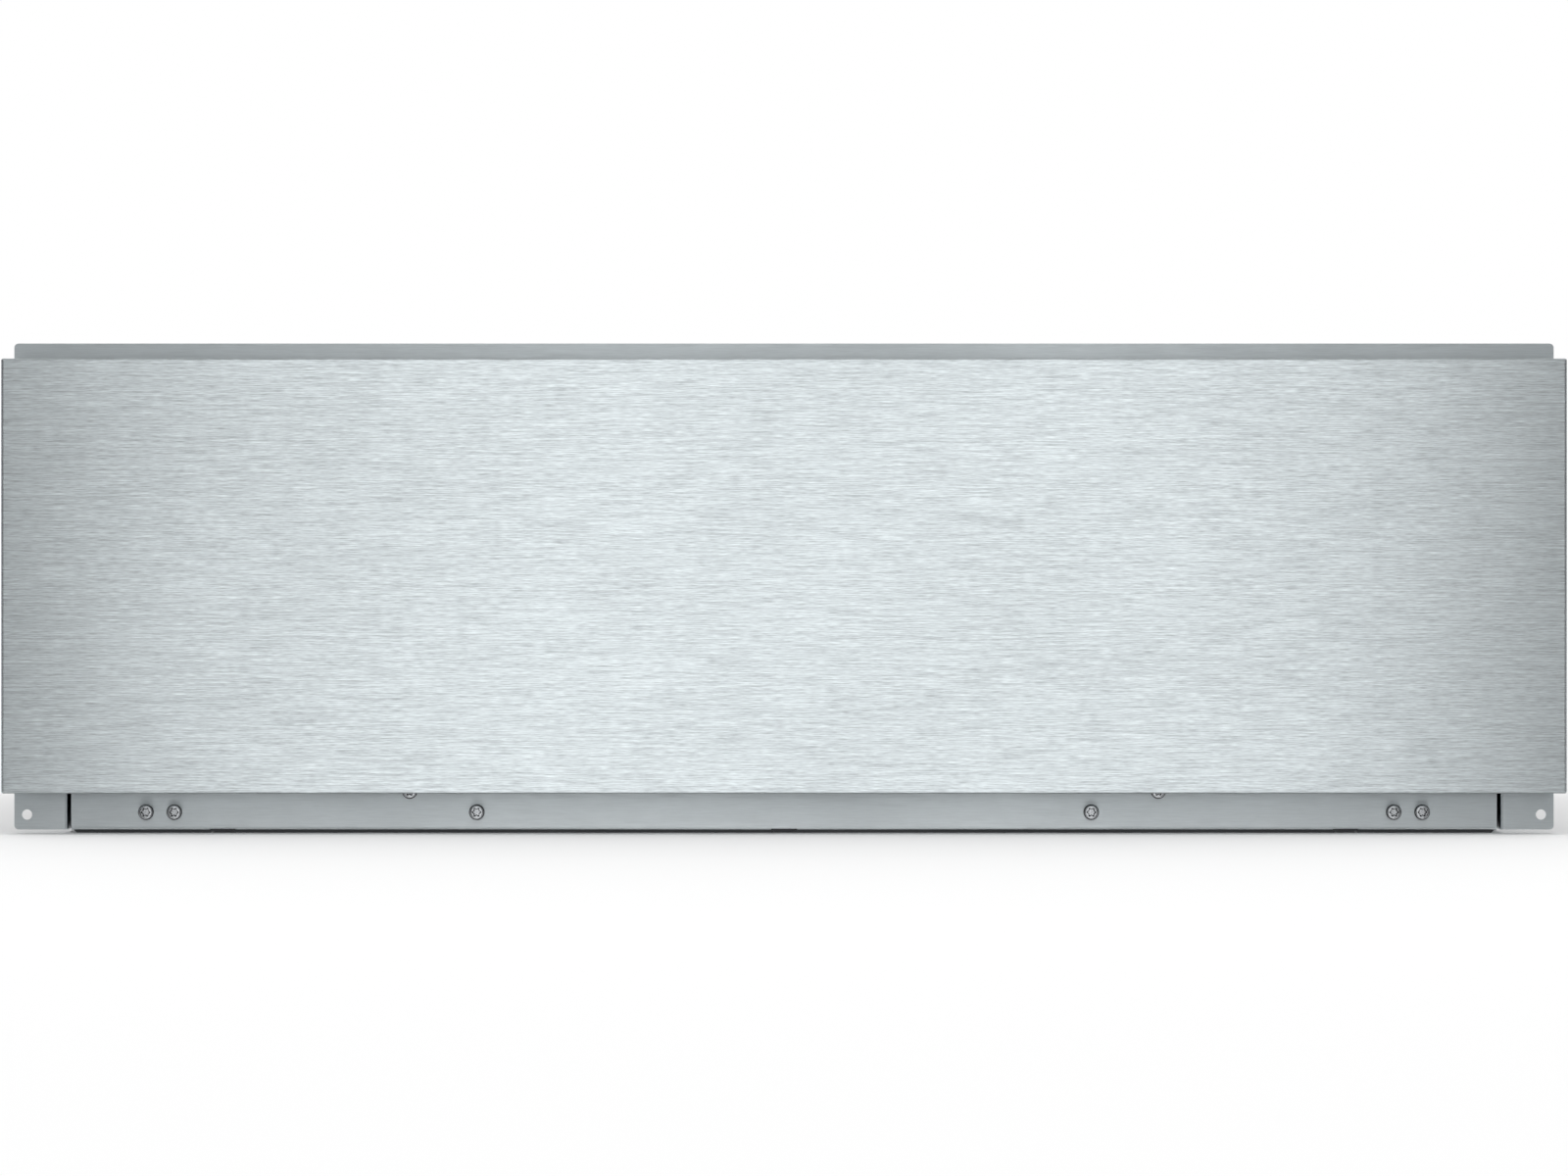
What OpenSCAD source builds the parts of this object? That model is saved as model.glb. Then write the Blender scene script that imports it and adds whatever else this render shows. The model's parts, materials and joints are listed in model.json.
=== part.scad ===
// Built-in warming drawer: a push-to-open drawer with a heated glass plate and circulating
// air, carried on full-extension ball slides in a casing of folded sheet.
// The front faces -Y, the width runs along X, +Z is up, and the origin is under the middle.

/* [Front panel] */
// Width of the front panel
panel_w = 756; // [740:1:790]
// Height of the front panel
panel_h = 210; // [204:1:224]
// Depth of the front panel from its face to its back
panel_t = 19; // [18:0.5:24]
// Height of the panel's lower edge above the base
panel_z = 20; // [19:0.5:24]
// Sheet of the front panel
panel_sheet = 1; // [0.8:0.1:1.2]
// Outer radius of the front panel's folds
panel_r = 1.4; // [1.3:0.1:2]

/* [Front frame] */
// Distance from the panel's side edge in to the frame's side edge
frame_inset = 3.3; // [3:0.1:5]
// Width of each leg of the frame
frame_leg = 26.2; // [25:0.1:30]
// Height of the strip over the opening
frame_strip = 22.2; // [21:0.1:26]
// How far the strip shows above the panel
frame_reveal = 8.2; // [6:0.1:12]
// Sheet of the frame
frame_sheet = 1.2; // [1:0.1:1.4]
// Depth of the frame from its face to the end of its inner lip
frame_lip = 14.5; // [13:0.5:17]
// Height of the tabs' lower edge above the base
tab_z = 1.65; // [1.4:0.05:2.4]
// Diameter of the fixing hole in each tab
tab_hole_d = 5; // [4:0.1:6]
// Distance from the frame's side edge to the fixing hole
tab_hole_x = 6.2; // [5:0.1:8]
// Distance from the tab's lower edge to the fixing hole
tab_hole_z = 7.25; // [5:0.05:9]
// Gap between the closed panel and the frame, for the push that opens the drawer
push_gap = 5.5; // [5.4:0.1:7]
// Thickness of the stop buffers in that gap
buffer_t = 2.6; // [1.5:0.1:2.8]

/* [Casing] */
// Depth over everything
total_d = 570; // [560:1:590]
// Sheet of the casing
case_sheet = 1; // [0.8:0.1:1.2]
// Thickness of the base plate
base_t = 1.2; // [1:0.1:1.4]
// Height of the raised beads in the base plate
bead_h = 0.6; // [0.4:0.1:0.8]
// Width of the raised beads
bead_w = 11.3; // [9:0.1:14]
// Distance between the beads
bead_pitch = 273.4; // [260:0.1:290]
// Height of the front rail's top edge above the panel's lower edge
rail_cover = 14; // [12:0.5:18]
// Gap between the front rail and the frame's legs
rail_gap = 1.5; // [1:0.1:2]

/* [Slides] */
// Diameter of the balls
ball_d = 2.5; // [2.4:0.05:2.6]
// Sheet of the slides
slide_sheet = 1; // [0.9:0.05:1.1]
// Height of the slides
slide_h = 45.5; // [43:0.5:48]
// Gap between the slides and the casing's rear wall
slide_rear_gap = 36; // [32:1:46]
// How much shorter the middle member is
middle_short = 30; // [20:1:40]
// How much shorter the inner member is
inner_short = 10; // [10:1:20]
// Length of the ball cages
cage_len = 225; // [200:1:230]
// Distance between the balls of a row
ball_pitch = 15; // [12:0.5:20]

/* [Drawer] */
// Sheet of the drawer box
drawer_sheet = 1; // [0.8:0.1:1.2]
// Gap between the front rail and the drawer's underside
drawer_gap = 4; // [3:0.5:6]
// Depth of the hollow front module behind the panel
module_t = 28; // [26:0.5:34]
// Distance from the drawer's rear wall to the back of the casing
rear_space = 83; // [82:0.5:90]
// Distance from the drawer's underside to the top of the glass
plate_rise = 24; // [23:0.5:28]
// Thickness of the glass warming plate
glass_t = 4; // [3:0.5:4.5]
// Distance from the top of the opening to the top of the drawer's sides
side_drop = 29; // [26:0.5:40]
// Distance from the top of the opening to the front module's top
module_drop = 16; // [15:0.5:20]

/* [Fan] */
// Diameter of the fan wheel
fan_d = 88; // [76:1:90]
// Number of fan blades
fan_blades = 24; // [16:1:30]
// Diameter of the motor shaft
shaft_d = 5; // [4:0.1:6]
// Diameter of the ring heater's tube
heater_d = 6.5; // [5:0.1:7]

/* [Controls] */
// Diameter of the selector knob
knob_d = 18; // [14:0.5:18]
// Height of the selector knob
knob_h = 9; // [6:0.5:10]
// Travel of the power button
button_travel = 1; // [0.5:0.1:1.2]

/* [Hidden] */

$fn = 48;
arc_steps = 6;
over = 1;            // how far a cut runs past the face it opens
fold_in = 0.8;       // inner radius of a sheet fold
run_gap = 0.05;      // radial clearance of a shaft or pin that turns or slides
free_gap = 0.3;      // clearance between faces that pass each other
rivet_d = 3.8;

// Planes across the width
x_panel = panel_w / 2;
x_frame = x_panel - frame_inset;
x_open = x_frame - frame_leg;
x_wall = x_open + frame_sheet;
x_rail = x_open - rail_gap;

// Planes along the depth
bushing_lip = 2;
y_face = -total_d / 2;
y_panel = y_face + panel_t;
y_frame = y_panel + push_gap;
y_lip = y_frame + frame_lip;
y_back = total_d / 2 - bushing_lip;
y_back_in = y_back - case_sheet;
y_module = y_panel + module_t;
y_rear = y_back - rear_space;

// Planes over the height
z_panel_top = panel_z + panel_h;
z_frame_top = z_panel_top + frame_reveal;
z_open = z_frame_top - frame_strip;
z_case = z_open + 12;
z_rail = panel_z + rail_cover;
z_floor = z_rail + drawer_gap;
z_glass = z_floor + plate_rise;
z_side = z_open - side_drop;
z_strip = z_open - module_drop;

// Ball races of the slides: u runs from the casing wall to the drawer, v up from the
// slide's middle line
race_gap = 0.04;
race_r = ball_d / 2 + race_gap + slide_sheet / 2;
crest_r = 1;
web_gap = 1.2;
middle_u = slide_sheet + web_gap + slide_sheet / 2;
outer_race = [middle_u + crest_r + (race_r + crest_r) * sin(45),
    slide_h / 2 - slide_sheet / 2 - race_r];
inner_race = outer_race + 2 * race_r * [cos(50), -sin(50)];
middle_crest = outer_race - (race_r + crest_r) * [cos(45), sin(45)];
inner_crest = inner_race + (race_r + crest_r) * [cos(45), -sin(45)];
slide_w = inner_crest[0] + crest_r + slide_sheet / 2;
slide_z = z_floor + 37;
slide_y = y_lip + 4;
slide_len = y_back_in - slide_rear_gap - slide_y;
cage_sheet = 0.5;
cage_y = slide_y + slide_len / 2 - cage_len / 2 - 13.5;
ball_count = floor((cage_len - ball_pitch) / ball_pitch) + 1;

// Drawer box between the slides
x_box = x_wall - slide_w;
x_box_in = x_box - drawer_sheet;
duct_x = x_box_in - 19.2;
fan_z = (z_floor + z_side) / 2 + 1;

// Folded sheet: points of an arc, a path's face at a distance from its middle line, and
// the outline of the sheet between its two faces
function unit(v) = v / norm(v);
function left_of(v) = [-v[1], v[0]];
function reversed(p) = [for (i = [len(p) - 1 : -1 : 0]) p[i]];
function swapped(p) = [for (q = p) [q[1], q[0]]];
function flipped(p) = [for (q = p) [-q[0], q[1]]];
function arc(c, r, a0, a1) =
    [for (i = [0 : arc_steps]) let (a = a0 + (a1 - a0) * i / arc_steps) c + r * [cos(a), sin(a)]];

function corner_face(p, a, b, r, d) =
    let (turn = atan2(a[0] * b[1] - a[1] * b[0], a * b))
    abs(turn) < 1 ? [p + d * left_of(a)] :
    let (s = sign(turn),
        c = p - a * r * tan(abs(turn) / 2) + s * r * left_of(a),
        n = -s * left_of(a),
        a0 = atan2(n[1], n[0]))
    arc(c, r - s * d, a0, a0 + turn);

function fold_face(p, r, d) = [for (i = [0 : len(p) - 1])
    let (a = unit(i == 0 ? p[1] - p[0] : p[i] - p[i - 1]),
        b = i == len(p) - 1 ? a : unit(p[i + 1] - p[i]))
    each corner_face(p[i], a, i == 0 ? a : b, r, d)];

module folded(path, t) {
    r = fold_in + t / 2;
    polygon(concat(fold_face(path, r, t / 2), reversed(fold_face(path, r, -t / 2))));
}

// Outlines that several pieces use
function rounded(x0, x1, z0, z1, r) = concat(
    arc([x1 - r, z1 - r], r, 0, 90), arc([x0 + r, z1 - r], r, 90, 180),
    arc([x0 + r, z0 + r], r, 180, 270), arc([x1 - r, z0 + r], r, 270, 360));
function front_rounded(a0, a1, y0, y1, r) = concat(
    [[a1, y1]], arc([a1 - r, y0 + r], r, 0, -90), arc([a0 + r, y0 + r], r, 270, 180), [[a0, y1]]);
function flare(a, r, y0, y1) = concat([[a + r, y0 - over]], arc([a + r, y0 + r], r, 270, 180), [[a, y1]]);
function star(r, depth, lobes) = [for (i = [0 : 6 * lobes - 1]) let (a = 60 * i / lobes)
    (r + depth * cos(lobes * a)) * [cos(a), sin(a)]];

// A profile is drawn in (y, z), (x, z) or (x, y) and drawn out along the third axis
module along_x(x0, x1) {
    translate([x0, 0, 0]) rotate([90, 0, 90]) linear_extrude(x1 - x0) children();
}
module along_y(y0, y1) {
    translate([0, y1, 0]) rotate([90, 0, 0]) linear_extrude(y1 - y0) children();
}
module along_z(z0, z1) {
    translate([0, 0, z0]) linear_extrude(z1 - z0) children();
}
module block(x0, x1, y0, y1, z0, z1) {
    translate([x0, y0, z0]) cube([x1 - x0, y1 - y0, z1 - z0]);
}
module rod_y(d, y0, y1) {
    translate([0, y0, 0]) rotate([-90, 0, 0]) cylinder(d = d, h = y1 - y0);
}
module rod_x(d, x0, x1) {
    translate([x0, 0, 0]) rotate([0, 90, 0]) cylinder(d = d, h = x1 - x0);
}
// Left-hand pieces are drawn at -X, and the right-hand ones are their mirror images
module side(right) {
    if (right) mirror([1, 0, 0]) children();
    else children();
}
module both_sides() {
    side(false) children();
    side(true) children();
}

// Block whose front edges are rounded, like the outside or the inside of a folded pan
module pan_block(w, z0, z1, y0, y1, r) {
    intersection() {
        along_z(z0, z1) polygon(front_rounded(-w / 2, w / 2, y0, y1, r));
        along_x(-w / 2, w / 2) polygon(swapped(front_rounded(z0, z1, y0, y1, r)));
    }
}
// Block that widens towards the front as a folded mouth does
module mouth_block(x, z, r, y0, y1, z0) {
    edge = flare(x, r, y0, y1);
    intersection() {
        along_z(z0, z + r) polygon(concat(edge, reversed(flipped(edge))));
        along_x(-x - r, x + r)
            polygon(concat(swapped(flare(z, r, y0, y1)), [[y1, z0], [y0 - over, z0]]));
    }
}

// Front frame: one folded sheet, a strip with two legs that end in tabs
frame_corner = 2.1;
tab_holes = [for (s = [-1, 1]) [s * (x_frame - tab_hole_x), tab_z + tab_hole_z]];
frame_rivet_z = [45, 110, 175];
frame_rivet_y = y_lip - 4.5;
module front_frame() {
    y_in = y_frame + frame_sheet;
    color("silver") difference() {
        union() {
            along_y(y_frame, y_in)
                polygon(rounded(-x_frame, x_frame, tab_z, z_frame_top, frame_corner));
            intersection() {
                mouth_block(x_wall, z_open + frame_sheet, fold_in, y_in, y_lip, tab_z);
                block(-x_frame, x_frame, y_frame + frame_sheet / 2, y_lip, tab_z, z_frame_top);
            }
        }
        mouth_block(x_open, z_open, fold_in + frame_sheet, y_frame, y_lip + over, -over);
        for (h = tab_holes)
            translate([h[0], 0, h[1]]) rod_y(tab_hole_d, y_frame - over, y_in + over);
        for (z = frame_rivet_z)
            translate([0, frame_rivet_y, z]) rod_x(rivet_d, -x_wall - over, x_wall + over);
    }
}

// Front rail under the opening, with its screws and the brackets that take them
rail_depth = 22;
rail_screw_z = 10.1;
screw_high_z = panel_z + 0.35;
screw_d = 4;
screw_free = 0.2;
bracket_sheet = 1.5;
rail_screw_x = [x_rail - 50.2, x_rail - 36.4, 0.431 * x_rail, 0.525 * x_rail];
rail_screws_at = [for (s = [-1, 1], i = [0 : 3])
    [s * rail_screw_x[i], i == 3 ? screw_high_z : rail_screw_z]];
bracket_margin = 13;
module at_rail_screws() {
    for (p = rail_screws_at) translate([p[0], 0, p[1]]) children();
}
// Notches that let a sheet stand on the base plate across its beads
module bead_relief(y0, y1) {
    half = bead_w / 2 + bead_h;
    for (i = [-1 : 1]) translate([i * bead_pitch, 0, 0])
        block(-half, half, y0, y1, 0, base_t + bead_h + 0.2);
}
module front_rail() {
    t = frame_sheet;
    color("silver") difference() {
        along_x(-x_rail, x_rail) folded([[y_frame + rail_depth, z_rail - t / 2],
            [y_frame + t / 2, z_rail - t / 2], [y_frame + t / 2, base_t + t / 2],
            [y_frame + rail_depth, base_t + t / 2]], t);
        at_rail_screws() rod_y(screw_d + 2 * screw_free, y_frame - over, y_frame + t + over);
        bead_relief(y_frame - over, y_frame + rail_depth + over);
    }
}
module rail_bracket(x0, x1, z1) {
    y0 = y_frame + frame_sheet;
    z0 = base_t + frame_sheet;
    m = bracket_sheet / 2;
    along_x(x0 - bracket_margin, x1 + bracket_margin)
        folded([[y0 + m, z1], [y0 + m, z0 + m], [y0 + rail_depth - 4, z0 + m]], bracket_sheet);
}
module rail_brackets() {
    color("gainsboro") difference() {
        for (s = [0, 1]) mirror([s, 0, 0]) {
            rail_bracket(rail_screw_x[0], rail_screw_x[1], z_rail - 6);
            rail_bracket(rail_screw_x[2], rail_screw_x[3], z_rail - frame_sheet - fold_in);
        }
        at_rail_screws() rod_y(screw_d + 0.1, y_frame, y_frame + rail_depth);
    }
}
module pan_screw(length) {
    head_d = 7.5;
    head_h = 2.6;
    dome_r = 6.5;
    difference() {
        union() {
            intersection() {
                cylinder(d = head_d, h = head_h);
                translate([0, 0, head_h - dome_r]) sphere(r = dome_r);
            }
            translate([0, 0, -length]) cylinder(d = screw_d, h = length + 0.5);
        }
        translate([0, 0, head_h - 1.7]) linear_extrude(2) polygon(star(1.62, 0.28, 6));
    }
}
module rail_screws() {
    color("lightgray") at_rail_screws()
        translate([0, y_frame, 0]) rotate([90, 0, 0]) pan_screw(10);
}

// Casing of folded sheet
base_inset = 4.1;
base_bevel = 1.4;
x_base = x_wall - base_inset;
wall_foot = 17;
slot_w = 4;
function bead_line(z, x_end, grow) = concat([[-x_end, z]],
    [for (i = [-1 : 1]) each [
        [i * bead_pitch - bead_w / 2 - bead_h / 2 - grow, z],
        [i * bead_pitch - bead_w / 2 + bead_h / 2 - grow, z + bead_h],
        [i * bead_pitch + bead_w / 2 - bead_h / 2 + grow, z + bead_h],
        [i * bead_pitch + bead_w / 2 + bead_h / 2 + grow, z]]],
    [[x_end, z]]);
module base_plate() {
    color("dimgray") along_y(y_frame + 0.5, y_back)
        polygon(concat(bead_line(0, x_base - base_bevel, -base_t / 4),
            reversed(bead_line(base_t, x_base, base_t / 4))));
}
module slot_x(x0, x1, y, z, length) {
    translate([0, y, z]) {
        rod_x(slot_w, x0, x1);
        translate([0, 0, length]) rod_x(slot_w, x0, x1);
        block(x0, x1, -slot_w / 2, slot_w / 2, 0, length);
    }
}
module side_wall(right) {
    t = case_sheet;
    x = x_wall + t / 2;
    z = base_t + t / 2;
    y_start = y_frame + frame_sheet + fold_in + free_gap;
    y_foot = y_frame + rail_depth + 1.5;
    color("lightgray") side(right) difference() {
        along_y(y_start, y_back)
            folded([[-x + wall_foot, z], [-x, z], [-x, z_case - fold_in]], t);
        block(-x_wall, -x_wall + wall_foot + over, y_start - over, y_foot, 0, 3 * t);
        block(-x_wall, -x_wall + wall_foot + over, y_back_in - 0.5, y_back + over, 0, 3 * t);
        for (y = runner_rivet_y) translate([0, y, slide_z]) rod_x(rivet_d, -x - t, -x + t);
        for (z_r = frame_rivet_z)
            translate([0, frame_rivet_y, z_r]) rod_x(rivet_d, -x - t, -x + t);
        for (y = cover_screw_y)
            translate([0, y, cover_screw_z]) rod_x(cover_screw_d, -x - t, -x + t);
        for (i = [0 : 7]) slot_x(-x - t, -x + t, y_back - 120 + 12 * i, z_case - 80, 45);
    }
}
rear_lip = 14;
terminal_at = [-x_wall + 85, base_t + 50];
bushing_d = 16;
module rear_wall() {
    t = case_sheet;
    x = x_wall - t / 2;
    color("lightgray") difference() {
        along_z(base_t, z_case) folded([[-x, y_back - rear_lip], [-x, y_back - t / 2],
            [x, y_back - t / 2], [x, y_back - rear_lip]], t);
        // corners cleared for the feet of the side walls
        for (s = [-1, 1]) translate([s * (x_wall - wall_foot / 2), 0, 0])
            block(-wall_foot / 2 - over, wall_foot / 2 + over, y_back - rear_lip - over,
                y_back - t - 0.1, 0, base_t + t + fold_in + 0.1);
        bead_relief(y_back - 2 * t, y_back + over);
        translate([terminal_at[0], 0, terminal_at[1]])
            rod_y(bushing_d + 2 * run_gap, y_back - 2 * t, y_back + over);
        for (i = [-8 : 8]) translate([i * 14, 0, z_case - 60]) {
            block(-slot_w / 2, slot_w / 2, y_back - 2 * t, y_back + over, 0, 40);
        }
    }
}
cover_lip = 15;
cover_screw_y = [y_lip + 20, 0, y_back - 30];
cover_screw_z = z_case - cover_lip / 2;
cover_screw_d = 3;
module top_cover() {
    t = case_sheet;
    x = x_wall + 1.5 * t;
    color("lightgray") difference() {
        along_y(y_frame + frame_sheet + 1, y_back) folded([[-x, z_case - cover_lip],
            [-x, z_case + t / 2], [x, z_case + t / 2], [x, z_case - cover_lip]], t);
        for (y = cover_screw_y) translate([0, y, cover_screw_z])
            rod_x(cover_screw_d + 0.4, -x_wall - 4 * t, x_wall + 4 * t);
        for (i = [-6 : 6]) translate([i * 40, y_back - 60, 0]) {
            block(-slot_w / 2, slot_w / 2, -40, 0, z_case - over, z_case + t + over);
        }
    }
}
module top_crossbar() {
    t = case_sheet;
    z = z_open + frame_sheet + t / 2;
    color("gainsboro") along_x(-x_wall + 0.5, x_wall - 0.5) folded([[y_lip - 11, z],
        [y_lip - 0.5, z], [y_lip - 0.5, z_case - t / 2], [y_lip + 14, z_case - t / 2]], t);
}
module cover_screws() {
    color("silver") both_sides() for (y = cover_screw_y) translate([0, y, cover_screw_z]) {
        rod_x(cover_screw_d, -x_wall - 2 * case_sheet - 0.1, -x_wall + 4);
        rod_x(5.6, -x_wall - 2 * case_sheet - 1.4, -x_wall - 2 * case_sheet);
    }
}
module frame_rivets() {
    head = 1;
    color("silver") both_sides() for (z = frame_rivet_z) translate([0, frame_rivet_y, z]) {
        rod_x(rivet_d, -x_wall - case_sheet - head, -x_open);
        rod_x(2 * rivet_d, -x_wall - case_sheet - head, -x_wall - case_sheet);
    }
}
module stop_buffers() {
    color("dimgray") for (s = [-1, 1], z = [60, z_panel_top - 30])
        translate([s * (x_open + frame_leg / 2), 0, z]) rod_y(12, y_frame - buffer_t, y_frame);
}

// Push latch on the rear wall: the plunger slides in its housing against a spring
latch_x = duct_x - 78;
latch_z = fan_z - 12;
latch_pin_d = 8;
latch_gap = push_gap + 0.3;
duct_depth = 38;
strike_t = 2;
y_strike = y_rear + drawer_sheet + duct_depth + strike_t;
y_tip = y_strike + latch_gap;
y_latch = y_tip + 8;
latch_spring_len = 10;
module latch_body() {
    color("dimgray") translate([latch_x, 0, latch_z]) difference() {
        union() {
            block(-16, 16, y_latch, y_back_in, -20, 20);
            block(-26, 26, y_back_in - 3, y_back_in, -12, 12);
        }
        rod_y(latch_pin_d + 2 * run_gap, y_latch - over, y_back_in - 4);
        for (s = [-1, 1]) translate([s * 21, 0, 0]) rod_y(4.2, y_back_in - 4, y_back_in + over);
    }
}
module latch_plunger() {
    color("whitesmoke") translate([latch_x, 0, latch_z]) {
        rod_y(latch_pin_d, y_tip + 2, y_back_in - 4 - latch_spring_len);
        intersection() {
            rod_y(latch_pin_d, y_tip, y_tip + 3);
            translate([0, y_tip + 6, 0]) sphere(r = 6);
        }
    }
}
// Ring of points at one step of a helix about Y
function coil_ring(r, wire_r, rise, steps, sides, i) = let (a = 360 * i / steps)
    [for (k = [0 : sides - 1]) let (b = 360 * k / sides, q = r + wire_r * cos(b))
        [q * cos(a), rise * i / steps + wire_r * sin(b), q * sin(a)]];
module coil(r, wire_r, length, turns, steps, sides) {
    rise = (length - 2 * wire_r) / turns;
    rings = turns * steps;
    points = [for (i = [0 : rings]) each coil_ring(r, wire_r, rise, steps, sides, i)];
    walls = [for (i = [0 : rings - 1], k = [0 : sides - 1])
        let (a = i * sides + k, b = i * sides + (k + 1) % sides)
        each [[a, a + sides, b + sides], [a, b + sides, b]]];
    ends = [[for (k = [0 : sides - 1]) k], [for (k = [sides - 1 : -1 : 0]) rings * sides + k]];
    translate([0, wire_r, 0]) polyhedron(points, concat(walls, ends));
}
module latch_spring() {
    color("silver") translate([latch_x, y_back_in - 4 - latch_spring_len, latch_z])
        coil(latch_pin_d / 2 - 0.9, 0.4, latch_spring_len, 6, 12, 6);
}

// Mains entry: bushing through the rear wall into a closed terminal box
box_half = [32, 28];
box_depth = 30;
box_wall = 2;
module at_terminal() {
    translate([terminal_at[0], 0, terminal_at[1]]) children();
}
module terminal_box() {
    color("dimgray") at_terminal() difference() {
        block(-box_half[0], box_half[0], y_back_in - box_depth, y_back_in, -box_half[1], box_half[1]);
        block(-box_half[0] + box_wall, box_half[0] - box_wall, y_back_in - box_depth + box_wall,
            y_back_in - box_wall, -box_half[1] + box_wall, box_half[1] - box_wall);
        rod_y(bushing_d + 2 * run_gap, y_back_in - box_wall - over, y_back_in + over);
    }
}
module terminal_block() {
    y0 = y_back_in - box_depth + box_wall;
    color("whitesmoke") at_terminal() difference() {
        block(-20, 20, y0, y0 + 8, 6, 22);
        for (i = [-1 : 1]) translate([12 * i, 0, 14]) rod_y(4, y0 + 3, y0 + 8 + over);
    }
}
module cable_bushing() {
    color("black") at_terminal() difference() {
        union() {
            rod_y(bushing_d + 6, y_back, y_back + bushing_lip);
            rod_y(bushing_d, y_back_in - 12, y_back + over);
            translate([0, y_back_in - box_wall - 5, 0]) rotate([-90, 0, 0])
                cylinder(d = bushing_d + 6, h = 5, $fn = 6);
        }
        rod_y(9, y_back_in - 12 - over, y_back + bushing_lip + over);
    }
}

// Ball slides, drawn at the left: members, cages and balls share the two race centres
function race_arc(c, a0, a1) = [c, race_r, a0, a1];
outer_arcs = [race_arc(outer_race, 0, 90),
    [[slide_sheet / 2 + crest_r, outer_race[1] + race_r - crest_r], crest_r, 90, 180]];
middle_arcs = [race_arc(inner_race, 10, 130), race_arc(outer_race, 310, 225),
    [middle_crest, crest_r, 45, 180]];
inner_arcs = [race_arc(inner_race, 225, 315), [inner_crest, crest_r, 135, 0]];
function arcs_face(arcs, d) = [for (a = arcs)
    each arc(a[0], a[1] - sign(a[3] - a[2]) * d, a[2], a[3])];
function lowered(p) = [for (q = p) [q[0], -q[1]]];
function member_face(arcs, d) = let (top = arcs_face(arcs, d)) concat(top, reversed(lowered(top)));
module member_profile(arcs) {
    polygon(concat(member_face(arcs, slide_sheet / 2),
        reversed(member_face(arcs, -slide_sheet / 2))));
}
runner_rivet_y = [slide_y + 44, slide_y + slide_len / 2, slide_y + slide_len - 46];
inner_rivet_y = [slide_y + 24, slide_y + slide_len / 2, y_rear - 20];
module at_slide(right) {
    side(right) translate([-x_wall, 0, slide_z]) children();
}
module runner_outer(right) {
    stop_y = slide_y + slide_len;
    color("silver") at_slide(right) difference() {
        union() {
            along_y(slide_y, stop_y) member_profile(outer_arcs);
            // tab bent in at the rear, which the drawer's member stops against
            along_y(stop_y - slide_sheet, stop_y) translate([slide_sheet / 2, -9])
                square([slide_w - slide_sheet - free_gap, 18]);
        }
        for (y = runner_rivet_y) translate([0, y, 0]) rod_x(rivet_d, -over, slide_sheet + over);
        for (i = [0 : 5]) translate([0, slide_y + (0.18 + 0.12 * i) * slide_len, 0])
            along_z(-8, 8) translate([-over, 0]) square([slide_sheet + 2 * over, 5]);
    }
}
module runner_middle(right) {
    color("lightgray") at_slide(right)
        along_y(slide_y, slide_y + slide_len - middle_short) member_profile(middle_arcs);
}
module runner_inner(right) {
    u = slide_w - slide_sheet;
    color("silver") at_slide(right) difference() {
        along_y(slide_y, slide_y + slide_len - inner_short) member_profile(inner_arcs);
        for (y = inner_rivet_y) translate([0, y, 0]) rod_x(rivet_d, u - over, slide_w + over);
    }
}
module cage(right, web_u, arm_v, reach, race) {
    color("goldenrod") at_slide(right) difference() {
        along_y(cage_y, cage_y + cage_len) folded([[reach, arm_v], [web_u, arm_v],
            [web_u, -arm_v], [reach, -arm_v]], cage_sheet);
        for (i = [0 : ball_count - 1], s = [-1, 1])
            translate([race[0], cage_y + ball_pitch * (i + 0.5), s * arm_v])
                cylinder(d = ball_d + 2 * run_gap, h = 2 * cage_sheet, center = true);
    }
}
module balls(right, race) {
    color("white") at_slide(right) for (i = [0 : ball_count - 1], s = [-1, 1])
        translate([race[0], cage_y + ball_pitch * (i + 0.5), s * race[1]])
            sphere(d = ball_d);
}
cage_reach = 0.6;
outer_cage_u = slide_sheet + web_gap / 2;
outer_cage_v = outer_race[1] + 0.2;
inner_cage_u = middle_u + slide_sheet / 2 + 0.85;
inner_cage_v = inner_race[1] - 0.2;
module outer_cage(right) {
    cage(right, outer_cage_u, outer_cage_v, outer_race[0] + cage_reach, outer_race);
}
module inner_cage(right) {
    cage(right, inner_cage_u, inner_cage_v, inner_race[0] + cage_reach, inner_race);
}
module runner_rivets() {
    head = 1.2;
    color("silver") both_sides() for (y = runner_rivet_y)
        translate([-x_wall, y, slide_z]) {
            rod_x(rivet_d, -case_sheet - head, slide_sheet);
            rod_x(2 * rivet_d, -case_sheet - head, -case_sheet);
        }
}
module drawer_rivets() {
    head = 1.2;
    color("silver") both_sides() for (y = inner_rivet_y) translate([-x_box, y, slide_z]) {
        rod_x(rivet_d, -slide_sheet, drawer_sheet + head);
        rod_x(2 * rivet_d, drawer_sheet, drawer_sheet + head);
    }
}

// Front panel: a folded pan with wide return lips, and the filler inside it
panel_lip = 32;
panel_lip_x = 45;
drawer_screw_d = 3;
module at_drawer_screws() {
    for (i = [-2.5 : 2.5]) translate([i * (2 * x_box_in - 70) / 5, 0, z_floor + 8]) children();
}
module front_panel() {
    t = panel_sheet;
    color("lightsteelblue") difference() {
        pan_block(panel_w, panel_z, z_panel_top, y_face, y_panel, panel_r);
        pan_block(panel_w - 2 * t, panel_z + t, z_panel_top - t, y_face + t, y_panel - t,
            panel_r - t);
        block(-x_panel + panel_lip_x, x_panel - panel_lip_x, y_panel - t - over, y_panel + over,
            panel_z + panel_lip, z_panel_top - panel_lip);
        at_drawer_screws() rod_y(drawer_screw_d, y_panel - 2 * t, y_panel + over);
    }
}
module panel_filler() {
    g = panel_sheet + 0.3;
    color("khaki") block(-x_panel + g, x_panel - g, y_face + g, y_panel - g,
        panel_z + g, z_panel_top - g);
}

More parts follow.
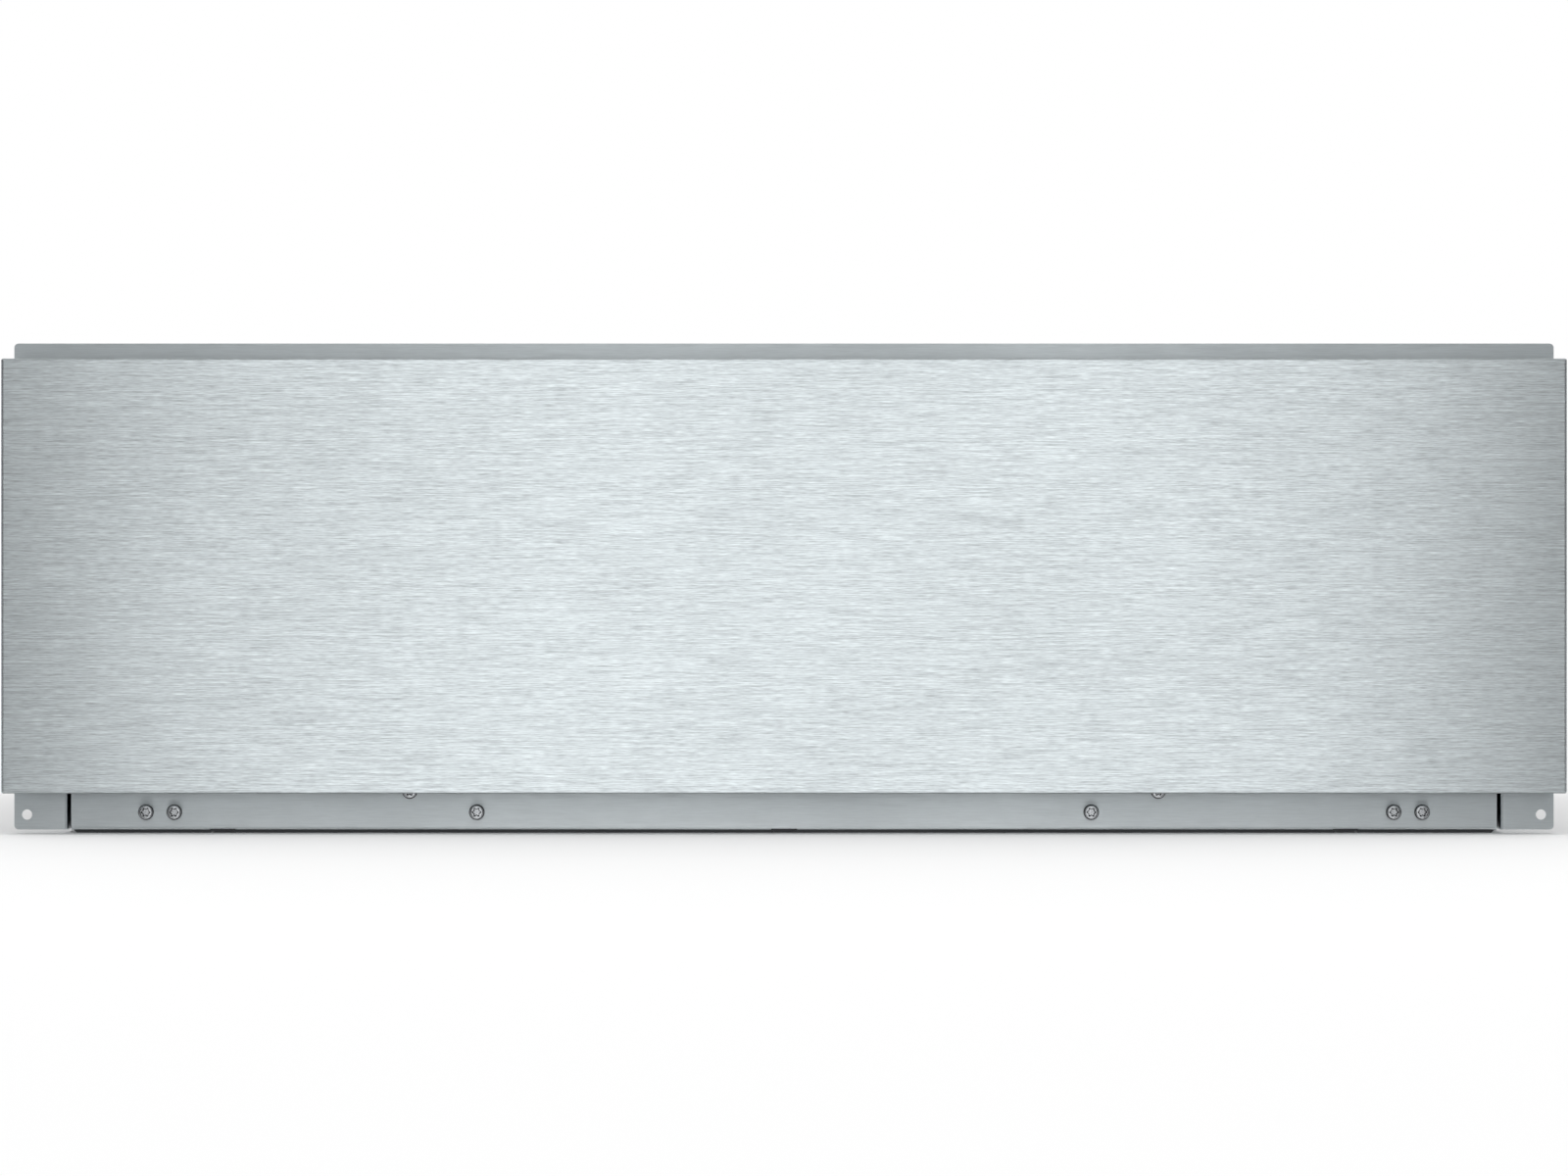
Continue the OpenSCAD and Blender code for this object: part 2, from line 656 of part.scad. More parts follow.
// Front module: the drawer's inner front, closed on top by the control strip
strip_t = 3;
ctrl_y = y_panel + 11;
knob_x = 180;
button_x = -120;
lens_x = [-60, -44, -28, -12];
ctrl_shaft_d = 6;
knob_lift = 0.3;
scale_start = 210;
button_d = 12;
board_drop = 8;
module inner_front() {
    t = drawer_sheet;
    m = t / 2;
    color("silver") difference() {
        along_x(-x_box_in, x_box_in) folded([[y_panel + m, z_floor + 13],
            [y_panel + m, z_floor + m], [y_module - m, z_floor + m],
            [y_module - m, z_strip - m], [y_module - 8, z_strip - m]], t);
        at_drawer_screws() rod_y(drawer_screw_d, y_panel - over, y_panel + 2 * t);
    }
}
module control_strip() {
    z1 = z_strip + strip_t;
    color("black") difference() {
        union() {
            block(-x_box_in, x_box_in, y_panel, y_module, z_strip, z1);
            for (x = [-140, -80, 0, 60]) translate([x, ctrl_y + 5, z_strip - board_drop])
                cylinder(d = 4, h = board_drop + over);
        }
        translate([knob_x, ctrl_y, z_strip - over]) cylinder(d = ctrl_shaft_d + 1, h = 2 * strip_t);
        translate([button_x, ctrl_y, z_strip - over])
            cylinder(d = button_d + 2 * free_gap, h = 2 * strip_t);
        for (x = lens_x) translate([x, ctrl_y, z_strip - over]) cylinder(d = 5, h = 2 * strip_t);
        // scale marks round the knob
        for (i = [0 : 8]) translate([knob_x, ctrl_y, z1 - 0.3])
            rotate([0, 0, scale_start - 30 * i]) translate([knob_d / 2 + 1, -0.3, 0])
                cube([1.6, 0.6, 1]);
    }
}
module selector_knob() {
    z0 = z_strip + strip_t + knob_lift;
    color("silver") translate([knob_x, ctrl_y, z0]) {
        difference() {
            union() {
                cylinder(d = knob_d, h = knob_h - 1);
                translate([0, 0, knob_h - 1]) cylinder(d1 = knob_d, d2 = knob_d - 1.6, h = 1);
            }
            for (i = [0 : 29]) rotate([0, 0, 12 * i]) translate([knob_d / 2, 0, 1.5])
                cylinder(d = 0.8, h = knob_h, $fn = 16);
            // pointer, at the first mark of the scale
            rotate([0, 0, scale_start - 90]) translate([-0.5, knob_d / 5, knob_h - 0.5])
                cube([1, knob_d / 3, 1]);
        }
        translate([0, 0, -13]) cylinder(d = ctrl_shaft_d, h = 13.5);
    }
}
module selector_switch() {
    color("dimgray") translate([knob_x, ctrl_y, 0]) difference() {
        block(-13, 13, -7, 7, z_strip - 20, z_strip);
        translate([0, 0, z_strip - 12]) cylinder(d = ctrl_shaft_d + 2 * run_gap, h = 13);
    }
}
module power_button() {
    z1 = z_strip + strip_t + button_travel + 0.5;
    z_stem = z_strip - board_drop + button_travel + 0.5;
    color("silver") translate([button_x, ctrl_y, 0]) {
        along_z(z_strip + 0.5, z1) circle(d = button_d);
        along_z(z_stem, z_strip + 1) circle(d = 3);
    }
}
module indicator_lenses() {
    color("orange") for (x = lens_x) translate([x, ctrl_y, 0])
        along_z(z_strip - 3, z_strip + strip_t) circle(d = 5);
}
module control_board() {
    z1 = z_strip - board_drop;
    color("darkgreen") difference() {
        union() {
            block(-145, 70, ctrl_y - 8, ctrl_y + 8, z1 - 1.6, z1);
            for (x = lens_x) translate([x, ctrl_y, z1 - 0.1]) cylinder(d = 4, h = 2.6);
            block(20, 50, ctrl_y - 6, ctrl_y + 6, z1 - 9, z1 - 1.5);
            block(-110, -80, ctrl_y - 6, ctrl_y + 6, z1 - 7, z1 - 1.5);
        }
        // clearance for the button's stem past the board's switch
        translate([button_x, ctrl_y, z1 - 3]) cylinder(d = 4, h = 4);
    }
}

// Drawer box
side_foot = 8;
side_hem = 10;
side_hem_drop = 9;
module drawer_side(right) {
    m = drawer_sheet / 2;
    x = x_box - m;
    color("silver") side(right) difference() {
        along_y(y_panel, y_rear + 13) folded([[-x + side_foot, z_floor + m], [-x, z_floor + m],
            [-x, z_side - m], [-x + side_hem, z_side - m], [-x + side_hem, z_side - side_hem_drop]],
            drawer_sheet);
        // the front module's underside and lip pass the foot and the hem
        block(-x_box_in, -x_box_in + side_hem + over, y_panel - over, y_module, z_floor - over,
            z_floor + 2 * drawer_sheet);
        block(-x_box_in, -x_box_in + side_hem + over, y_panel - over, y_module,
            z_side - side_hem_drop - over, z_side + over);
        for (y = inner_rivet_y) translate([0, y, slide_z])
            rod_x(rivet_d, -x_box - over, -x_box_in + over);
    }
}
floor_rim = 10;
module drawer_floor() {
    m = drawer_sheet / 2;
    x = x_box_in - m;
    z = z_floor + drawer_sheet + m;
    color("silver") difference() {
        along_y(y_module, y_rear) folded([[-x, z + floor_rim], [-x, z], [x, z],
            [x, z + floor_rim]], drawer_sheet);
        for (i = [-3 : 3]) translate([i * x / 4.2, 0, 0])
            block(-2, 2, y_module + 80, y_rear - 80, z - 1, z + 1);
    }
}
vent_w = 4;
module drawer_rear_wall() {
    m = drawer_sheet / 2;
    x = x_box_in - m;
    y = y_rear + m;
    z_foot = z_floor + drawer_sheet + fold_in + 0.1;
    z_hem = z_side - side_hem_drop - 1;
    inner_x = x_box - side_hem - 1;
    color("silver") difference() {
        union() {
            along_z(z_foot, z_hem) folded([[-x, y + 11], [-x, y], [x, y], [x, y + 11]],
                drawer_sheet);
            along_x(-inner_x, inner_x) folded([[y, z_hem - 10], [y, z_side - m],
                [y + 10, z_side - m], [y + 10, z_side - 9]], drawer_sheet);
        }
        for (s = [-1, 1], i = [0 : 9]) translate([s * (duct_x - 23 - 10 * i), 0, fan_z])
            block(-vent_w / 2, vent_w / 2, y_rear - over, y_rear + 2 * drawer_sheet, -24, 24);
        translate([0, 0, fan_z]) for (ring = [1 : 4], i = [0 : 6 * ring - 1])
            rotate([0, 360 * i / (6 * ring), 0]) translate([8.5 * ring, 0, 0])
                rod_y(5, y_rear - over, y_rear + 2 * drawer_sheet);
    }
}

// Heated floor: insulation, tray, flat element with its thermostat, glass and seal
fit_gap = 1;
tray_h = 6;
x_tray = x_box_in - 5;
z_tray = z_glass - glass_t - tray_h;
element_t = 0.8;
module floor_insulation() {
    z0 = z_floor + 2 * drawer_sheet;
    color("khaki") block(-x_tray + 2, x_tray - 2, y_module + fit_gap, y_rear - fit_gap, z0, z_tray);
}
module heater_tray() {
    t = 1;
    color("gainsboro") difference() {
        block(-x_tray, x_tray, y_module + fit_gap, y_rear - fit_gap, z_tray, z_tray + tray_h);
        block(-x_tray + t, x_tray - t, y_module + fit_gap + t, y_rear - fit_gap - t,
            z_tray + t, z_tray + tray_h + over);
    }
}
// Flat ribbon that runs to and fro along X, with a half ring at each turn
ribbon_w = 6;
ribbon_pitch = 36;
ribbon_rows = 10;
ribbon_x = x_tray - 45;
module half_ring(x, y, right) {
    translate([x, y]) difference() {
        circle(d = ribbon_pitch + ribbon_w);
        circle(d = ribbon_pitch - ribbon_w);
        translate([right ? -ribbon_pitch : 0, -ribbon_pitch])
            square([ribbon_pitch, 2 * ribbon_pitch]);
    }
}
module heating_element() {
    y0 = (y_module + y_rear - ribbon_pitch * (ribbon_rows - 1)) / 2;
    z1 = z_glass - glass_t;
    color("peru") along_z(z1 - element_t, z1) {
        for (i = [0 : ribbon_rows - 1])
            translate([-ribbon_x, y0 + ribbon_pitch * i - ribbon_w / 2])
                square([2 * ribbon_x, ribbon_w]);
        for (i = [0 : ribbon_rows - 2])
            half_ring((i % 2 == 0 ? 1 : -1) * ribbon_x, y0 + ribbon_pitch * (i + 0.5), i % 2 == 0);
    }
}
module thermostat() {
    color("lightgray") translate([60, (y_module + y_rear) / 2, z_tray + 1]) {
        cylinder(d = 14, h = tray_h - 1 - element_t);
        for (s = [-1, 1]) translate([s * 8 - 1.5, -1, 0]) cube([3, 2, 2.5]);
    }
}
module warming_plate() {
    color("black") block(-x_tray, x_tray, y_module + fit_gap, y_rear - fit_gap,
        z_glass - glass_t, z_glass);
}
module plate_seal() {
    z0 = z_glass - glass_t - 1;
    z1 = z_glass + 0.8;
    lip = 4;
    color("dimgray") difference() {
        block(-x_box_in, x_box_in, y_module, y_rear, z0, z1);
        block(-x_tray, x_tray, y_module + fit_gap, y_rear - fit_gap, z0 - over, z_glass);
        block(-x_tray + lip, x_tray - lip, y_module + lip, y_rear - lip, z_glass - over, z1 + over);
    }
}

// Air circulation behind the drawer's rear wall
duct_sheet = 0.8;
y_duct = y_rear + drawer_sheet;
duct_z = [fan_z - 62, fan_z + 64];
hub_y = y_duct + 4;
hub_len = 20;
module air_duct() {
    t = duct_sheet;
    m = t / 2;
    y1 = y_duct + duct_depth;
    color("gainsboro") {
        difference() {
            along_x(-duct_x, duct_x) folded([[y_duct, duct_z[0] + m], [y1 - m, duct_z[0] + m],
                [y1 - m, duct_z[1] - m], [y_duct, duct_z[1] - m]], t);
            translate([0, 0, fan_z]) rod_y(12, y_duct, y1 + over);
        }
        // end plates between the channel's two flanges
        both_sides() block(-duct_x, -duct_x + t, y_duct, y1 - t - free_gap,
            duct_z[0] + t + free_gap, duct_z[1] - t - free_gap);
    }
}
module fan_wheel() {
    r = fan_d / 2;
    depth = 18;
    y0 = hub_y;
    color("silver") translate([0, 0, fan_z]) difference() {
        union() {
            rod_y(fan_d, y0 + depth, y0 + depth + 1);
            for (i = [0 : fan_blades - 1]) rotate([0, 360 * i / fan_blades, 0])
                translate([r - 10, 0, 0]) rotate([0, 25, 0])
                    block(-7, 7, y0, y0 + depth + 0.5, -0.4, 0.4);
            difference() {
                rod_y(fan_d, y0 - 1, y0);
                rod_y(fan_d - 34, y0 - 2, y0 + 1);
            }
            rod_y(14, y0 + 2, y0 + hub_len);
        }
        rod_y(shaft_d + 2 * run_gap, y0 - 3, y0 + hub_len + over);
    }
}
module fan_motor() {
    y0 = y_duct + duct_depth;
    color("dimgray") translate([0, 0, fan_z]) difference() {
        union() {
            rod_y(58, y0 + 2, y0 + 20);
            rod_y(30, y0 + 20, y0 + 24);
            rod_y(shaft_d, hub_y - 1, y0 + 3);
            for (s = [-1, 1]) block(s * 34 - 8, s * 34 + 8, y0, y0 + 2, -8, 8);
            block(-30, 30, y0, y0 + 2.5, -6, 6);
        }
        rotate([0, 15, 0]) for (i = [0 : 11]) rotate([0, 30 * i, 0])
            translate([23, 0, 0]) rod_y(4, y0 + 18, y0 + 21);
    }
}
ring_r = fan_d / 2 + 4 + heater_d / 2;
module ring_heater() {
    y = hub_y + 9;
    color("darkgray") translate([0, y, fan_z]) rotate([-90, 0, 0]) {
        rotate_extrude() translate([ring_r, 0]) circle(d = heater_d);
        // legs that hold the ring on the duct's back
        for (a = [45, 135, 225, 315]) rotate([0, 0, a]) translate([ring_r, 0, 0])
            cylinder(d = 3, h = y_duct + duct_depth - duct_sheet - y);
    }
}
module strike_plate() {
    y0 = y_duct + duct_depth;
    color("silver") difference() {
        block(latch_x - 18, latch_x + 18, y0, y0 + strike_t, latch_z - 14, latch_z + 14);
        for (s = [-1, 1]) translate([latch_x + s * 13, 0, latch_z])
            rod_y(3.4, y0 - over, y0 + strike_t + over);
    }
}
module drawer_screws() {
    y_head = y_panel + drawer_sheet;
    color("silver") at_drawer_screws() {
        rod_y(drawer_screw_d, y_panel - panel_sheet - 0.2, y_head + 0.5);
        rod_y(2 * drawer_screw_d, y_head, y_head + 1.8);
    }
}

front_frame();
front_rail();
rail_brackets();
rail_screws();
base_plate();
side_wall(false);  // side_wall_left
side_wall(true);  // side_wall_right
rear_wall();
top_cover();
top_crossbar();
cover_screws();
frame_rivets();
runner_outer(false);  // runner_outer_left
runner_outer(true);  // runner_outer_right
runner_rivets();
stop_buffers();
latch_body();
latch_spring();
latch_plunger();
terminal_box();
terminal_block();
cable_bushing();
runner_middle(false);  // runner_middle_left
runner_middle(true);  // runner_middle_right
outer_cage(false);  // outer_cage_left
outer_cage(true);  // outer_cage_right
inner_cage(false);  // inner_cage_left
inner_cage(true);  // inner_cage_right
balls(false, outer_race);  // outer_balls_left
balls(true, outer_race);  // outer_balls_right
balls(false, inner_race);  // inner_balls_left
balls(true, inner_race);  // inner_balls_right
front_panel();
panel_filler();
inner_front();
control_strip();
selector_knob();
selector_switch();
power_button();
indicator_lenses();
control_board();
drawer_side(false);  // drawer_side_left
drawer_side(true);  // drawer_side_right
drawer_floor();
drawer_rear_wall();
floor_insulation();
heater_tray();
heating_element();
thermostat();
warming_plate();
plate_seal();
air_duct();
fan_wheel();
fan_motor();
ring_heater();
runner_inner(false);  // runner_inner_left
runner_inner(true);  // runner_inner_right
drawer_rivets();
drawer_screws();
strike_plate();
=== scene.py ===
"""Finishes and fine pieces of a built-in warming drawer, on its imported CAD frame.

Lengths are in metres. The front faces -Y, the width runs along X and +Z is up.
"""

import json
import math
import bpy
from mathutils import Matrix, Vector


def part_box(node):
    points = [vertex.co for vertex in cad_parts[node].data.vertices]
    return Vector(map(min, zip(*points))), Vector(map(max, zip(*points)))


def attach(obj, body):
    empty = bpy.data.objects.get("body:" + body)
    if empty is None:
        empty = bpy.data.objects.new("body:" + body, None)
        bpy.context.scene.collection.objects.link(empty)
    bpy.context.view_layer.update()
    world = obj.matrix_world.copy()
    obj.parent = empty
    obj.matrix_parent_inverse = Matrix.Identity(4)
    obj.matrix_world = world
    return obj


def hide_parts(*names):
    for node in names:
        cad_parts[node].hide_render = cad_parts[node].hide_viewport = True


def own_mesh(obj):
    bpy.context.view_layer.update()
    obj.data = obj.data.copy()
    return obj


bl_info = {
    "name": "Warming drawer",
    "version": (1, 0, 0),
    "blender": (4, 5, 0),
    "location": "3D Viewport > Sidebar > Drawer",
    "description": "Finishes and fine pieces of a built-in warming drawer",
    "category": "Object",
}

import bmesh
import bpy
from mathutils import Vector

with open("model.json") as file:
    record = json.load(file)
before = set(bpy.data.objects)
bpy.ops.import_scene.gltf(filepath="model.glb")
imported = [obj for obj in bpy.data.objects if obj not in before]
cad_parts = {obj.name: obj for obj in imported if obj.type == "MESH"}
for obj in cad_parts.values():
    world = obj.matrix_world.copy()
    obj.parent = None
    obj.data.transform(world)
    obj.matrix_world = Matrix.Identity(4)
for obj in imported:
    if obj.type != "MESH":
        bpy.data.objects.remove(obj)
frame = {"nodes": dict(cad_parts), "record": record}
SLOT_OF = {part["node"]: part["material_slot"] for part in frame["record"]["subparts"]}
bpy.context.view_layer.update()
finishes = {}

FOLD_ANGLE = math.radians(32)  # faces that meet at less than this are shaded as one
TOUCH = 2e-6  # vertices closer than this are one
SIDES = 48  # sides of a screw, a rivet or a buffer
LOBES = 6  # lobes of the screws' recess

TURN_TO = {
    "-Y": (math.pi / 2, 0, 0),
    "+Y": (-math.pi / 2, 0, 0),
    "-X": (0, -math.pi / 2, 0),
    "+X": (0, math.pi / 2, 0),
    "+Z": (0, 0, 0),
}

# Shaping


def deselect():
    """Leaves edit mode and selects nothing."""
    if bpy.context.object and bpy.context.object.mode != "OBJECT":
        bpy.ops.object.mode_set(mode="OBJECT")
    bpy.ops.object.select_all(action="DESELECT")


def select(*pieces):
    """Selects these objects alone and makes the first one active."""
    deselect()
    for piece in pieces:
        piece.select_set(True)
    bpy.context.view_layer.objects.active = pieces[0]


def settle(piece, name):
    """Names a piece and moves its place, turn and size into its mesh."""
    piece.name = name
    piece.data.name = name
    select(piece)
    bpy.ops.object.transform_apply(location=True, rotation=True, scale=True)
    return piece


def start_block(name, low, high):
    """Starts a piece as a block between two corners."""
    deselect()
    low, high = Vector(low), Vector(high)
    bpy.ops.mesh.primitive_cube_add(size=1, location=(low + high) / 2)
    piece = bpy.context.object
    piece.scale = high - low
    return settle(piece, name)


def edit(piece):
    """Opens a piece in edit mode."""
    select(piece)
    bpy.ops.object.mode_set(mode="EDIT")


def done():
    """Leaves edit mode."""
    bpy.ops.object.mode_set(mode="OBJECT")


def face_outwards():
    """Turns all faces of the open piece outwards and closes it."""
    bpy.ops.mesh.select_all(action="SELECT")
    bpy.ops.mesh.normals_make_consistent(inside=False)
    done()


def pick(kind, wanted):
    """Selects in edit mode the faces, edges or vertices that are wanted, and no others."""
    bpy.ops.mesh.select_mode(type=kind)
    bpy.ops.mesh.select_all(action="DESELECT")
    mesh = bmesh.from_edit_mesh(bpy.context.edit_object.data)
    parts = {"VERT": mesh.verts, "EDGE": mesh.edges, "FACE": mesh.faces}[kind]
    found = [part for part in parts if wanted(part)]
    if not found:
        raise RuntimeError("nothing to select on " + bpy.context.edit_object.name)
    for part in found:
        part.select_set(True)
    bmesh.update_edit_mesh(bpy.context.edit_object.data)


def near(a, b):
    """Whether two lengths are the same but for rounding."""
    return abs(a - b) < 1e-6


def edge_along(edge, axis):
    """Whether an edge runs along one axis."""
    a, b = (vert.co for vert in edge.verts)
    return all(near(a[i], b[i]) for i in range(3) if i != axis)


def all_at(part, axis, value):
    """Whether all vertices of an edge or face lie at one coordinate."""
    return all(near(vert.co[axis], value) for vert in part.verts)


def round_edges(radius, steps):
    """Rounds the picked edges."""
    bpy.ops.mesh.bevel(offset=radius, segments=steps, profile=0.5, affect="EDGES", clamp_overlap=True)


def round_upright_edges(piece, radius, steps):
    """Rounds a block's upright edges, and leaves it open in edit mode."""
    edit(piece)
    pick("EDGE", lambda edge: edge_along(edge, 2))
    round_edges(radius, steps)


def add_modifier(piece, kind, **settings):
    """Adds one modifier and leaves it live."""
    modifier = piece.modifiers.new(kind, kind)
    for key, value in settings.items():
        setattr(modifier, key, value)
    return modifier


def apply_modifier(piece, kind, **settings):
    """Adds one modifier and applies it at once."""
    select(piece)
    modifier = add_modifier(piece, kind, **settings)
    bpy.ops.object.modifier_apply(modifier=modifier.name)


def smooth(piece):
    """Shades a finished piece smooth, apart from its real edges."""
    select(piece)
    bpy.ops.object.shade_smooth_by_angle(angle=FOLD_ANGLE)
    apply_modifier(piece, "WEIGHTED_NORMAL", weight=100, keep_sharp=True)


def resize_ring(size):
    """Resizes what is picked about the Z axis."""
    bpy.ops.transform.resize(value=(size, size, 1), center_override=(0, 0, 0))


def draw_out(rise, size):
    """Draws the picked face out along Z, and resizes it there."""
    bpy.ops.mesh.extrude_region_move(TRANSFORM_OT_translate={"value": (0, 0, rise)})
    resize_ring(size)


def turned(name, profile, sides=SIDES):
    """Turns a round piece about Z, as a disc that is drawn out ring by ring."""
    deselect()
    radius, height = profile[0]
    bpy.ops.mesh.primitive_circle_add(
        vertices=sides, radius=radius, fill_type="NGON", location=(0, 0, height))
    piece = settle(bpy.context.object, name)
    edit(piece)
    bpy.ops.mesh.select_mode(type="FACE")
    bpy.ops.mesh.select_all(action="SELECT")
    for next_radius, next_height in profile[1:]:
        draw_out(next_height - height, next_radius / radius)
        radius, height = next_radius, next_height
    face_outwards()
    return piece


def lobed_recess(piece, height, radius, depth):
    """Sinks a lobed driver recess into the flat top of a screw head."""
    mean, wave, floor = 0.9, 0.17, 0.72
    edit(piece)
    pick("FACE", lambda face: all_at(face, 2, height) and face.normal.z > 0.9)
    top = bmesh.from_edit_mesh(piece.data)
    rim = max(vert.co.xy.length for face in top.faces if face.select for vert in face.verts)
    bpy.ops.mesh.inset(thickness=rim - radius)
    per_lobe = SIDES // LOBES
    for phase in range(per_lobe):
        turn = 2 * math.pi * phase / per_lobe
        size = mean + wave * math.cos(turn)

        def in_phase(vert, turn=turn):
            angle = math.atan2(vert.co.y, vert.co.x) * LOBES
            return (near(vert.co.z, height) and vert.co.xy.length < radius * 1.01
                    and math.cos(angle - turn) > 0.99)

        pick("VERT", in_phase)
        resize_ring(size)
    pick("FACE", lambda face: all_at(face, 2, height) and len(face.verts) == SIDES)
    draw_out(-depth, floor)
    done()


def lobed_screw(name, head, head_height, shank, length):
    """Pan-head screw with its seat at the origin, its head upwards and a ringed thread.

    Head and shank are radii, and the length is that of the shank.
    """
    point, pitch, plain, root = 0.0012, 0.0009, 0.0008, shank * 0.82
    profile = [(shank * 0.25, -length), (shank * 0.8, point - length)]
    for ring in range(int((length - point - plain) / pitch)):
        foot = point - length + pitch * ring
        profile += [(shank, foot + pitch * 0.4), (root, foot + pitch * 0.9)]
    profile += [(root, -0.0004), (shank, 0), (head * 0.97, 0), (head, 0.0002)]
    crown, flat, step_in = head_height * 0.55, 0.7, 0.02
    profile.append((head, head_height - crown))
    for step in range(1, 7):
        turn = math.radians(90 * step / 7)
        reach = flat + step_in + (1 - step_in - flat) * math.cos(turn)
        profile.append((head * reach, head_height - crown * (1 - math.sin(turn))))
    profile.append((head * flat, head_height))
    screw = turned(name, profile)
    lobed_recess(screw, head_height, head * 0.6, min(head_height * 0.65, 0.0016))
    return screw


def domed_rivet(name, head, head_height, shank, length):
    """Rivet with its seat at the origin and its domed head upwards. Head and shank are radii."""
    rim = 0.25
    profile = [(shank * 0.85, -length), (shank, -length + 0.0002), (shank, 0), (head, 0)]
    profile.append((head, head_height * rim))
    for step in range(1, 7):
        turn = math.radians(90 * step / 6.5)
        height = head_height * (rim + (1 - rim) * math.sin(turn))
        profile.append((head * math.cos(turn), height))
    return turned(name, profile)


def middle_of(node):
    """Middle of a CAD node's box."""
    low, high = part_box(node)
    return (low + high) / 2


def solids_of(node):
    """Lowest and highest corner of each separate solid of a CAD node, from left to right."""
    mesh = bmesh.new()
    mesh.from_mesh(frame["nodes"][node].data)
    bmesh.ops.remove_doubles(mesh, verts=mesh.verts, dist=1e-6)
    left, boxes = set(mesh.verts), []
    while left:
        group, rim = [], [left.pop()]
        while rim:
            vert = rim.pop()
            group.append(vert.co.copy())
            for edge in vert.link_edges:
                other = edge.other_vert(vert)
                if other in left:
                    left.remove(other)
                    rim.append(other)
        boxes.append([Vector([pick_end(co[i] for co in group) for i in range(3)])
                      for pick_end in (min, max)])
    mesh.free()
    return sorted(boxes, key=lambda box: tuple(round(v, 4) for v in box[0]))


def put(piece, body, slot, node=None, finish=None):
    """Gives a piece its finish and the body it moves with, and hides the CAD node it shows."""
    piece.data.materials.clear()
    piece.data.materials.append(finish_for(finish or slot))
    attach(piece, body)
    if node:
        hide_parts(node)


def set_out(pattern, node, body, facing, height, finish=None):
    """Copies a small piece to each solid of a CAD node, and removes the pattern.

    The pattern stands that high on its seat, and faces along an axis, or away from the drawer's
    middle plane or towards it.
    """
    for number, (low, high) in enumerate(solids_of(node), 1):
        select(pattern)
        bpy.ops.object.duplicate()
        piece = bpy.context.object
        direction = facing
        if facing in ("outwards", "inwards"):
            direction = "-X" if (low.x < 0) == (facing == "outwards") else "+X"
        axis = "XYZ".index(direction[1])
        seat = (low + high) / 2
        seat[axis] = low[axis] + height if direction[0] == "-" else high[axis] - height
        piece.location = seat
        piece.rotation_euler = TURN_TO[direction]
        settle(piece, "%s_%d" % (pattern.name, number))
        smooth(piece)
        put(piece, body, SLOT_OF[node], node, finish)
    select(pattern)
    bpy.ops.object.delete()


def stand(piece, node, name):
    """Stands a turned cap where the CAD node that it shows stands, on the body of that name."""
    foot = middle_of(node)
    foot.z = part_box(node)[0].z
    piece.location = foot
    settle(piece, name)
    smooth(piece)
    put(piece, node, SLOT_OF[node], node)


# Finishes


class NodeTree:
    """The nodes of a material or of the world."""

    def __init__(self, owner):
        owner.use_nodes = True
        self.nodes = owner.node_tree.nodes
        self.links = owner.node_tree.links

    def fill(self, node, inputs):
        """Links patterns to a node's inputs, and writes plain values there."""
        for key, value in inputs.items():
            if isinstance(value, bpy.types.NodeSocket):
                self.links.new(value, node.inputs[key])
            else:
                node.inputs[key].default_value = value
        return node

    def node(self, kind, inputs=None, **settings):
        """Adds one node with its settings and inputs."""
        node = self.nodes.new("ShaderNode" + kind)
        for key, value in settings.items():
            setattr(node, key, value)
        return self.fill(node, inputs or {})

    def math(self, operation, first, second=0.0):
        return self.node("Math", {0: first, 1: second}, operation=operation).outputs[0]

    def show(self, amount, first, second, output):
        """Shows two shaders, mixed by an amount."""
        mix = self.node("MixShader", {0: amount, 1: first.outputs[0], 2: second.outputs[0]})
        self.fill(self.nodes[output], {"Surface": mix.outputs[0]})


